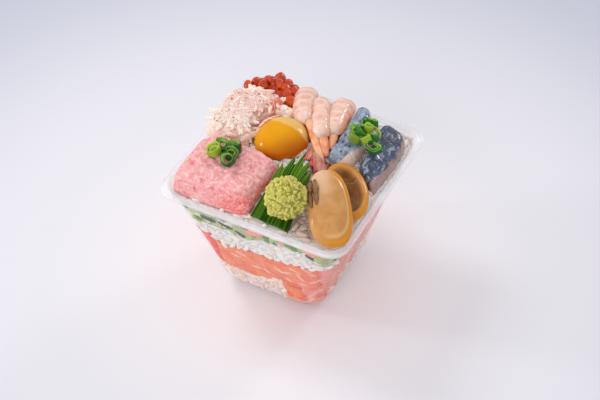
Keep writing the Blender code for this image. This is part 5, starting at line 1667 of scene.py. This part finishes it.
FISH_1_FLESH = ((2.0, 3.4), (8.0, 3.0), (13.0, 1.4), (22.0, 0.7), (40.0, 0.9))
FISH_2_FLESH = ((-2.6, 2.2), (4.0, 1.6), (11.0, 1.2), (22.0, 0.8), (36.0, 0.6))


def across(pairs, y):
    places, values = zip(*pairs)
    return np.interp(y, places, values)


def fish_rise(back):
    def rise(x, y, inward):
        thick = FISH_FRONT + (back - FISH_FRONT) * smooth_step(0.0, FISH_LENGTH, y)
        return FOOT + (thick - FOOT) * rounded(inward, FISH_SHOULDER)

    return rise


def fish_lump(place):
    scores = np.exp(-(((place[:, 1] + 0.35 * place[:, 0]) % 11.0 - 5.5) / 0.5) ** 2)
    up = 0.35 * noise_at(place, 5.0, 71) + 0.10 * rough_noise(place, 1.6, 72, 2) - 0.45 * scores
    return np.column_stack([np.zeros(len(place)), np.zeros(len(place)), up])


# %% Fish finish
def fish_finish(name, skin_light, skin_dark, cloud_code, flesh_code):
    material, tree, shader, colour = food(
        name, skin_light, skin_dark, spot=3.0, amount=0.85, wet=0.14, dry=0.34, grain=0.7, depth=0.07,
        inner=0.15, glow="8090ff", reach=1.5,
    )
    scale_place = place_node(tree, (1.0, 0.45, 1.0), (0.0, 0.0, -18.0))
    cloud = step_node(tree, noise_node(tree, place_node(tree), 4.5, 5.0, 1.2), 0.46, 0.60)
    colour = tint(tree, shader, colour, cloud, cloud_code, 0.75)
    shine = step_node(tree, noise_node(tree, scale_place, 2.0, 3.0, 0.8), 0.52, 0.66)
    colour = tint(tree, shader, colour, shine, "c3cee4", 0.5)
    speckle = step_node(tree, noise_node(tree, place_node(tree), 1.1, 2.0), 0.62, 0.70)
    colour = tint(tree, shader, colour, speckle, "2c3346", 0.7)
    colour = tint(tree, shader, colour, mask_of(tree, "mark"), "23252f", 0.85)
    colour = tint(tree, shader, colour, mask_of(tree, "flesh"), flesh_code)
    blood = step_node(tree, noise_node(tree, place_node(tree), 1.8, 2.0), 0.60, 0.70)
    bloody = math_node(tree, "MULTIPLY", math_node(tree, "MULTIPLY", blood, mask_of(tree, "flesh")), 0.5)
    colour = tint(tree, shader, colour, bloody, "a8786c")
    silver = math_node(tree, "MULTIPLY", math_node(tree, "SUBTRACT", 1.0, mask_of(tree, "flesh")), 0.35)
    tree.links.new(silver, shader.inputs["Metallic"])
    return material


fish_1_look = fish_finish("fish_skin_1", "b2c0d4", "7486a8", "8c8c92", "dcc2b4")
fish_2_look = fish_finish("fish_skin_2", "646c86", "3a4256", "64605e", "b8948a")

# %% Fish slices
# Dark marks on the light slice: x, y, size.
FISH_1_MARKS = (
    (15.6, 12.8, 0.9), (17.4, 12.0, 0.8), (19.3, 12.4, 1.0), (21.2, 11.2, 0.8), (23.2, 11.3, 1.0),
    (24.0, 5.6, 1.1),
    (25.2, 4.6, 1.1), (27.0, 3.2, 1.0), (15.9, 20.0, 0.8), (15.6, 26.0, 0.9), (15.9, 33.0, 1.0),
    (16.9, 38.0, 1.1),
    (19.0, 40.0, 1.0), (20.4, 28.0, 0.8), (22.0, 34.4, 0.9), (18.6, 23.6, 0.7), (18.4, 16.4, 0.8),
    (21.0, 6.8, 0.8),
)


def marks_at(points, marks):
    mark = np.zeros(len(points))
    for x, y, size in marks:
        away = ((points[:, 0] - x) / size) ** 2 + ((points[:, 1] - y) / (1.5 * size)) ** 2
        mark = np.maximum(mark, np.exp(-away * 1.5))
    return mark


fish_1_points, fish_1_faces = mound(FISH_1_OUTLINE, 200, fish_rise(FISH_1_BACK), rows=56, lump=fish_lump)
y = fish_1_points[:, 1]
uneven = 0.5 * noise_at(fish_1_points, 3.0, 73)
from_right = across(FISH_1_RIGHT, y) - fish_1_points[:, 0]
flesh = smooth_step(0.4, -0.4, from_right - across(FISH_1_FLESH, y) + uneven)
from_left = fish_1_points[:, 0] - across(FISH_1_LEFT, y)
flesh = np.maximum(flesh, smooth_step(0.4, -0.4, from_left - 1.7 + uneven) * smooth_step(12.0, 16.0, y))
flesh = np.maximum(flesh, smooth_step(2.6, 1.4, fish_1_points[:, 2] - bed(fish_1_points[:, 0], y) - REST))
mark = marks_at(fish_1_points, FISH_1_MARKS) * smooth_step(0.6, 0.2, flesh)
dress("fish_slice_light", fish_1_points, fish_1_faces, fish_1_look, "silver_fish", ["fish_slice_1"],
      flesh=flesh, mark=mark)

fish_2_points, fish_2_faces = mound(FISH_2_OUTLINE, 200, fish_rise(FISH_2_BACK), rows=56, lump=fish_lump)
y = fish_2_points[:, 1]
uneven = 0.9 * noise_at(fish_2_points, 2.6, 74)
from_right = across(FISH_2_RIGHT, y) - fish_2_points[:, 0]
flesh = smooth_step(0.5, -0.5, from_right - across(FISH_2_FLESH, y) + uneven)
over_rice = fish_2_points[:, 2] - bed(fish_2_points[:, 0], y) - REST
flesh = np.maximum(flesh, 0.8 * smooth_step(1.8, 0.6, over_rice + uneven))
dashes = smooth_step(0.3, 0.6, noise_at(fish_2_points * [1.0, 2.2, 1.0], 1.5, 75))
border = np.exp(-((from_right - across(FISH_2_FLESH, y)) / 1.0) ** 2)
mark = np.maximum(dashes * border, 0.7 * dashes * smooth_step(6.0, 0.0, y))
dress("fish_slice_dark", fish_2_points, fish_2_faces, fish_2_look, "silver_fish", ["fish_slice_2"],
      flesh=0.75 * flesh, mark=mark)

# %% [markdown]
# ## Simmered clams
# Two clams cooked in soy lean on the rice at the front right. The near one is a plump oval with a
# golden rim and a ruffled brown foot at its side. The far one stands cupped behind it and shows its
# hollow. Both are balls reshaped by the direction of each point, as in the solids, with the rims,
# slits and folds added. A pale line on the near rim is a painted highlight, and the hollow, the slit
# and the creases of the foot are darkened as painted shade.

# %% Clam shapes
CLAM_FRONT_CENTRE, CLAM_FRONT_RADII = np.array([32.8, -28.4, 78.0]), (19.4, 9.9, 4.8)
CLAM_FRONT_ALONG, CLAM_FRONT_UP = (0.52, -0.80, -0.32), (0.26, -0.34, 0.90)
CLAM_BACK_CENTRE, CLAM_BACK_RADII = np.array([32.6, -11.4, 73.9]), (16.4, 10.2, 6.4)
CLAM_BACK_ALONG, CLAM_BACK_UP = (0.60, -0.78, -0.16), (0.36, -0.40, 0.84)
CLAM_BLUNT, CLAM_WIDEN, CLAM_THIN = 2.5, 0.08, 0.3
CLAM_LIP, CLAM_HOLLOW, CLAM_HOLLOW_FROM, CLAM_HOLLOW_TO = 2.4, 6.4, 0.45, 0.84
LEAST_THICK = 1.8
FOOT_LINES = (
    ((20.0, -22.0), (21.4, -25.2), (23.0, -28.4), (24.8, -31.4), (26.8, -34.2)),
    ((21.8, -21.6), (23.4, -24.4), (25.1, -27.2), (26.8, -30.0), (28.4, -32.6)),
)
FOOT_WIDTHS = (1.2, 2.6, 3.0, 2.4, 1.0)
FOOT_STEPS, FOOT_AROUND = 90, 20


def globe(rows, around):
    """Directions of a ball with poles on z, closed, as (points, faces)."""
    rings = []
    turn = np.linspace(0.0, 2.0 * np.pi, around, endpoint=False)
    for tilt in np.linspace(-0.5, 0.5, rows + 2)[1:-1] * np.pi:
        rings.append(np.column_stack([
            math.cos(tilt) * np.cos(turn), math.cos(tilt) * np.sin(turn), np.full(around, math.sin(tilt))]))
    points, faces = loft(rings)
    points[-2], points[-1] = (0.0, 0.0, -1.0), (0.0, 0.0, 1.0)
    return points, faces


def placed(local, centre, along, up, lift):
    axes = axes_from([along], [up])[0]
    points = local @ axes + centre
    points[:, 2] = np.maximum(points[:, 2], bed(points[:, 0], points[:, 1]) + GAP + LEAST_THICK * lift)
    return points


unit_points, clam_faces = globe(90, 140)
flat = np.hypot(unit_points[:, 0], unit_points[:, 1])
safe = np.maximum(flat, 1e-4)
c, s = np.abs(unit_points[:, 0]) / safe, np.abs(unit_points[:, 1]) / safe
outline_push = np.ones(len(flat))
away = flat > 1e-3
outline_push[away] += flat[away] * (
    (c[away] ** CLAM_BLUNT + s[away] ** CLAM_BLUNT) ** (-1.0 / CLAM_BLUNT) - 1.0)
over = np.maximum(0.0, unit_points[:, 2])
groove = np.exp(-((flat - 0.86) / 0.02) ** 2) * (over > 0)
band = np.exp(-((flat - 0.955) / 0.03) ** 2) * (over > 0)
local = unit_points * CLAM_FRONT_RADII
local[:, 0] *= outline_push
local[:, 1] *= outline_push * (1.0 + CLAM_WIDEN * unit_points[:, 0])
local[:, 2] *= 1.0 - CLAM_THIN * flat ** 6
right_side = smooth_step(-0.35, 0.35, unit_points[:, 1] + 0.35 * unit_points[:, 0])
local[:, 2] += right_side * (0.35 * band - 0.45 * groove)
wrinkles = noise_at(local * [0.35, 1.0, 1.0], 2.0, 81)
local[:, 2] += 0.10 * wrinkles * over
front_points = placed(local, CLAM_FRONT_CENTRE, CLAM_FRONT_ALONG, CLAM_FRONT_UP, over)
gold = right_side * smooth_step(0.83, 0.89, flat)
# Painted highlight: a pale line along the near clam's rim on its right side.
painted_rim_highlight = right_side * np.exp(-((flat - 0.79) / 0.05) ** 2)
pinkish = smooth_step(0.25, -0.8, unit_points[:, 0]) * smooth_step(0.5, -0.3, unit_points[:, 1])
parts = [(front_points, clam_faces)]
front_tree = BVHTree.FromPolygons([Vector(point) for point in front_points], clam_faces)
none = np.zeros(len(front_points))
masks = [(gold, 0.6 * painted_rim_highlight, pinkish, none, none)]
for index, line in enumerate(FOOT_LINES):
    along_foot = np.linspace(0.0, 1.0, FOOT_STEPS)
    ruffle_place = np.column_stack([along_foot * 24.0, 0 * along_foot + index, 0 * along_foot])
    ruffle = 1.0 + 0.28 * rough_noise(ruffle_place, 2.4, 84)
    widths = stretched(FOOT_WIDTHS, FOOT_STEPS) * ruffle
    spots = smooth_line(line, FOOT_STEPS)
    tops = [front_tree.ray_cast(Vector((x, y, 120.0)), Vector((0.0, 0.0, -1.0)))[0] for x, y in spots]
    heights = [top.z + 0.5 if top else 75.8 for top in tops]
    fold_points, fold_faces = sweep(np.column_stack([spots, heights]), widths, widths, FOOT_AROUND)
    parts.append((fold_points, fold_faces))
    none = np.zeros(len(fold_points))
    side_turn = np.cos(np.tile(np.arange(FOOT_AROUND), FOOT_STEPS) * 2.0 * np.pi / FOOT_AROUND)
    # Painted shade: the foot is darker where it narrows and along the sides of each fold, in its creases.
    narrows = 0.6 * np.repeat(smooth_step(0.9, 0.75, ruffle), FOOT_AROUND)
    gully = np.append(np.maximum(narrows, smooth_step(0.6, 0.95, np.abs(side_turn))), [0.0, 0.0])
    masks.append((none, none, none, none + 1.0, gully))
points, faces = joined(*parts)
gold, painted_rim_highlight, pinkish, foot, dark = (np.concatenate(part) for part in zip(*masks))

# %% Clam finish
clam_look, tree, shader, colour = food(
    "clam", "cc965a", "bc8244", spot=5.0, amount=0.7, wet=0.08, dry=0.26, grain=1.2, depth=0.06,
    inner=0.35, glow="ff9040", reach=2.5, coat=0.2, shine=0.15,
)
colour = tint(tree, shader, colour, mask_of(tree, "pinkish"), "e6be9e", 0.75)
colour = tint(tree, shader, colour, mask_of(tree, "gold"), "d28a22")
# The pale mask is a painted highlight on the near clam's rim; on the far clam it is the slit's pale edge.
colour = tint(tree, shader, colour, mask_of(tree, "pale"), "ecb878")
colour = tint(tree, shader, colour, mask_of(tree, "foot"), "8e6a48")
# The dark mask is painted shade: the foot's creases, the far clam's hollow and its slit.
colour = tint(tree, shader, colour, mask_of(tree, "dark"), "642f06")
dress("clam_near", points, faces, clam_look, "clam", ["clam_front"],
      gold=gold, pale=painted_rim_highlight, pinkish=pinkish, foot=foot, dark=dark)

# %% Far clam
local = unit_points * CLAM_BACK_RADII
upper = unit_points[:, 2] > 0.0
sunk = CLAM_HOLLOW * (1.0 - smooth_step(CLAM_HOLLOW_FROM, CLAM_HOLLOW_TO, flat))
local[upper, 2] = CLAM_LIP * unit_points[upper, 2] - sunk[upper]
ripples = noise_at(local * [0.5, 1.0, 1.0], 1.8, 82)
local[upper, 2] += 0.16 * ripples[upper] * smooth_step(0.98, 0.8, flat[upper])
points = placed(local, CLAM_BACK_CENTRE, CLAM_BACK_ALONG, CLAM_BACK_UP, over)
# Painted shade: the hollow is darkened, most at its middle, and the slit is a dark line.
hollow = upper * (1.0 - smooth_step(0.62, 0.80, flat))
deep = upper * (1.0 - smooth_step(0.30, 0.62, flat))
rim = upper * smooth_step(0.80, 0.88, flat)
slit_long = smooth_step(5.6, 4.6, np.abs(local[:, 1] - 1.0))
slit = upper * np.exp(-((local[:, 0] + 6.8) / 0.45) ** 2) * slit_long
slit_edge = upper * np.exp(-((local[:, 0] + 5.9) / 0.4) ** 2) * slit_long
dark = np.maximum(0.55 * hollow + 0.35 * deep, 0.9 * slit) * (1.0 + 0.25 * ripples)
dress("clam_far", points, clam_faces, clam_look, "clam", ["clam_back"],
      gold=np.maximum(rim, 0.8 * (~upper)), pale=0.8 * slit_edge, pinkish=np.zeros(len(points)),
      foot=0.15 * hollow, dark=np.clip(dark, 0.0, 0.95))

# %% [markdown]
# ## Leaf
# A strip of dark green leaf, cut into grass-like blades, keeps the wasabi off the tuna. The sheet
# rises from the rim towards the yolk and ends in five pointed blades, whose tips follow one smooth
# line and whose sides have small nicks. Fine veins run lengthwise as real relief, and pale streaks
# between them grow stronger towards the tips.

# %% Leaf sheet
LEAF_LEFT, LEAF_RIGHT = ((-0.4, -41.6), (0.6, -19.6)), ((19.6, -43.2), (15.4, -17.0))
LEAF_FOOT, LEAF_RISE, LEAF_WAVE, LEAF_THICK = 69.6, 7.4, 0.5, 0.6
BLADES = ((1.4, -13.4, 79.6), (4.8, -7.6, 80.4), (8.2, -3.6, 80.8), (12.2, -6.6, 79.4), (15.4, -11.0, 78.0))
LEAF_COLUMNS, LEAF_ROWS, BLADE_ROWS = 200, 40, 26
NOTCH = 0.86


def leaf_base(u, v):
    left = np.array(LEAF_LEFT[0]) + np.outer(v, np.subtract(LEAF_LEFT[1], LEAF_LEFT[0]))
    right = np.array(LEAF_RIGHT[0]) + np.outer(v, np.subtract(LEAF_RIGHT[1], LEAF_RIGHT[0]))
    place = left + (right - left) * u[:, None]
    z = LEAF_FOOT + LEAF_RISE * v + LEAF_WAVE * np.sin(u * 11.0) * (0.3 + v)
    return np.column_stack([place, z])


u = np.linspace(0.0, 1.0, LEAF_COLUMNS + 1)
blade_index = np.minimum((u * len(BLADES)).astype(int), len(BLADES) - 1)
part = u * len(BLADES) - blade_index
tall = 1.0 - 0.46 * np.abs(2.0 * part - 1.0) ** 1.15
nicks = np.abs(2.0 * ((part * 5.0) % 1.0) - 1.0)
blade_reach = tall - 0.10 * nicks * smooth_step(0.1, 0.4, np.abs(2.0 * part - 1.0))
tips = smooth_line(BLADES, 401)[np.clip(((u * len(BLADES) - 0.5) * 100).astype(int), 0, 400)]
rows = []
for row in range(LEAF_ROWS + 1):
    rows.append(leaf_base(u, np.full(len(u), NOTCH * row / LEAF_ROWS)))
root = rows[-1]
tip_shift = (part - 0.5)[:, None] * np.array([1.2, 0.2, 0.0])
reach = blade_reach[:, None]
end = root + (tips - root) * reach + tip_shift * (1.0 - tall[:, None])
for row in range(1, BLADE_ROWS + 1):
    t = row / BLADE_ROWS
    bow = np.array([0.0, 0.0, 0.6]) * math.sin(t * math.pi) * reach
    rows.append(root + (end - root) * t + bow)
sheet = np.stack(rows)
veins = 0.08 * np.sin(u * 2.0 * np.pi * 46.0)
sheet[:, :, 2] += veins[None]
count = LEAF_COLUMNS + 1
upper_face = sheet + [0.0, 0.0, LEAF_THICK]
points = np.vstack([sheet.reshape(-1, 3), upper_face.reshape(-1, 3)])
height, shift = len(rows), len(rows) * count
faces = []
for row in range(height - 1):
    for column in range(count - 1):
        a = row * count + column
        faces.append([a, a + 1, a + count + 1, a + count])
        faces.append([a + shift, a + count + shift, a + count + 1 + shift, a + 1 + shift])
border = list(range(count)) + [row * count + count - 1 for row in range(1, height)]
border += [(height - 1) * count + column for column in range(count - 2, -1, -1)]
border += [row * count for row in range(height - 2, 0, -1)]
for index, start in enumerate(border):
    end_index = border[(index + 1) % len(border)]
    faces.append([start, start + shift, end_index + shift, end_index])
stripe = np.tile(np.tile(smooth_step(0.2, 0.9, np.sin(u * 2.0 * np.pi * 23.0)), height), 2)
stripe *= 0.1 + 1.2 * np.tile(np.repeat(np.arange(height) / height, count), 2)
shade = np.tile(np.tile(noise_at(np.column_stack([u * 40.0, u * 0, u * 0]), 1.0, 91), height), 2)
leaf_look, tree, shader, colour = food(
    "leaf", "265008", "142f03", spot=3.0, amount=0.6, wet=0.22, dry=0.4, grain=0.8, depth=0.05,
    inner=0.1, glow="60ff20", reach=0.6, coat=0.06, shine=0.1,
)
colour = tint(tree, shader, colour, mask_of(tree, "stripe"), "82b42c", 0.85)
stripe = np.clip(stripe + 0.5 * shade, 0.0, 1.0)
dress("leaf_blades", points, faces, leaf_look, "leaf", ["leaf_divider"], stripe=stripe)

# %% [markdown]
# ## Wasabi
# Freshly grated wasabi squeezed into a ball is a mass of damp crumbs. The ball is pushed in along
# cell borders to make cracks between crumbs, and several hundred loose crumbs sit on it.

# %% Wasabi ball
WASABI_CENTRE, WASABI_RADIUS = np.array([13.6, -33.9, 80.4]), 9.6
LEAF_FRONT_Y, LEAF_DEPTH = -42.4, 24.0
CRUMB_CELLS, LOOSE_CRUMBS = 420, 620


def over_leaf(y):
    """Top of the leaf at a distance y from the cup's middle."""
    v = np.clip((y - LEAF_FRONT_Y) / LEAF_DEPTH, 0.0, 1.0)
    return LEAF_FOOT + LEAF_RISE * v + LEAF_THICK + LEAF_WAVE


seeds = unit(random_draw.normal(size=(CRUMB_CELLS, 3)))
fine_ball, fine_faces = ball(6)
nearness = fine_ball @ seeds.T
two_best = np.sort(nearness, axis=1)[:, -2:]
crack = smooth_step(0.012, 0.0, two_best[:, 1] - two_best[:, 0])
crumb_swell = smooth_step(0.985, 1.0, two_best[:, 1])
swell = 0.955 + 0.07 * noise_at(fine_ball * 9.0, 4.0, 95) + 0.035 * crumb_swell - 0.05 * crack
core_points = fine_ball * (swell * WASABI_RADIUS)[:, None] * [1.0, 1.0, 1.04] + WASABI_CENTRE
crumb_spots = unit(random_draw.normal(size=(LOOSE_CRUMBS, 3)))
crumb_spots = crumb_spots[crumb_spots[:, 2] > -0.5]
crumb_ball, crumb_faces = ball(2)
crumb_centres = crumb_spots * WASABI_RADIUS * (
    0.945 + 0.07 * noise_at(crumb_spots * 9.0, 4.0, 95))[:, None] * [1.0, 1.0, 1.04] + WASABI_CENTRE
crumb_sizes = random_draw.uniform(0.4, 1.0, (len(crumb_spots), 3))
crumb_sizes *= random_draw.uniform(0.7, 1.5, (len(crumb_spots), 1))
crumbs = scatter(crumb_ball, crumb_faces, crumb_centres,
                 axes_from(random_draw.normal(size=crumb_spots.shape), crumb_spots), crumb_sizes)
points, faces = joined((core_points, fine_faces.tolist()), crumbs)
points = points + 0.14 * wander(points, 0.8, (96, 97, 98))
points = points + 0.45 * wander(points, 2.6, (93, 94, 92))
points[:, 2] = np.maximum(points[:, 2], over_leaf(points[:, 1]) + GAP)
# Painted shade: the cracks between crumbs are darkened.
crack_shade = np.append(crack, np.zeros(len(crumbs[0])))
wasabi_look, tree, shader, colour = food(
    "wasabi", "d8d072", "b8ae42", spot=1.6, amount=0.7, wet=0.35, dry=0.6, grain=0.5, depth=0.1,
    inner=0.3, glow="c0ff40", reach=1.0,
)
# The gap mask darkens the cracks: painted shade.
colour = tint(tree, shader, colour, mask_of(tree, "gap"), "6f7a24", 0.8)
dress("wasabi_crumbs", points, faces, wasabi_look, "wasabi", ["wasabi_ball"], gap=crack_shade)
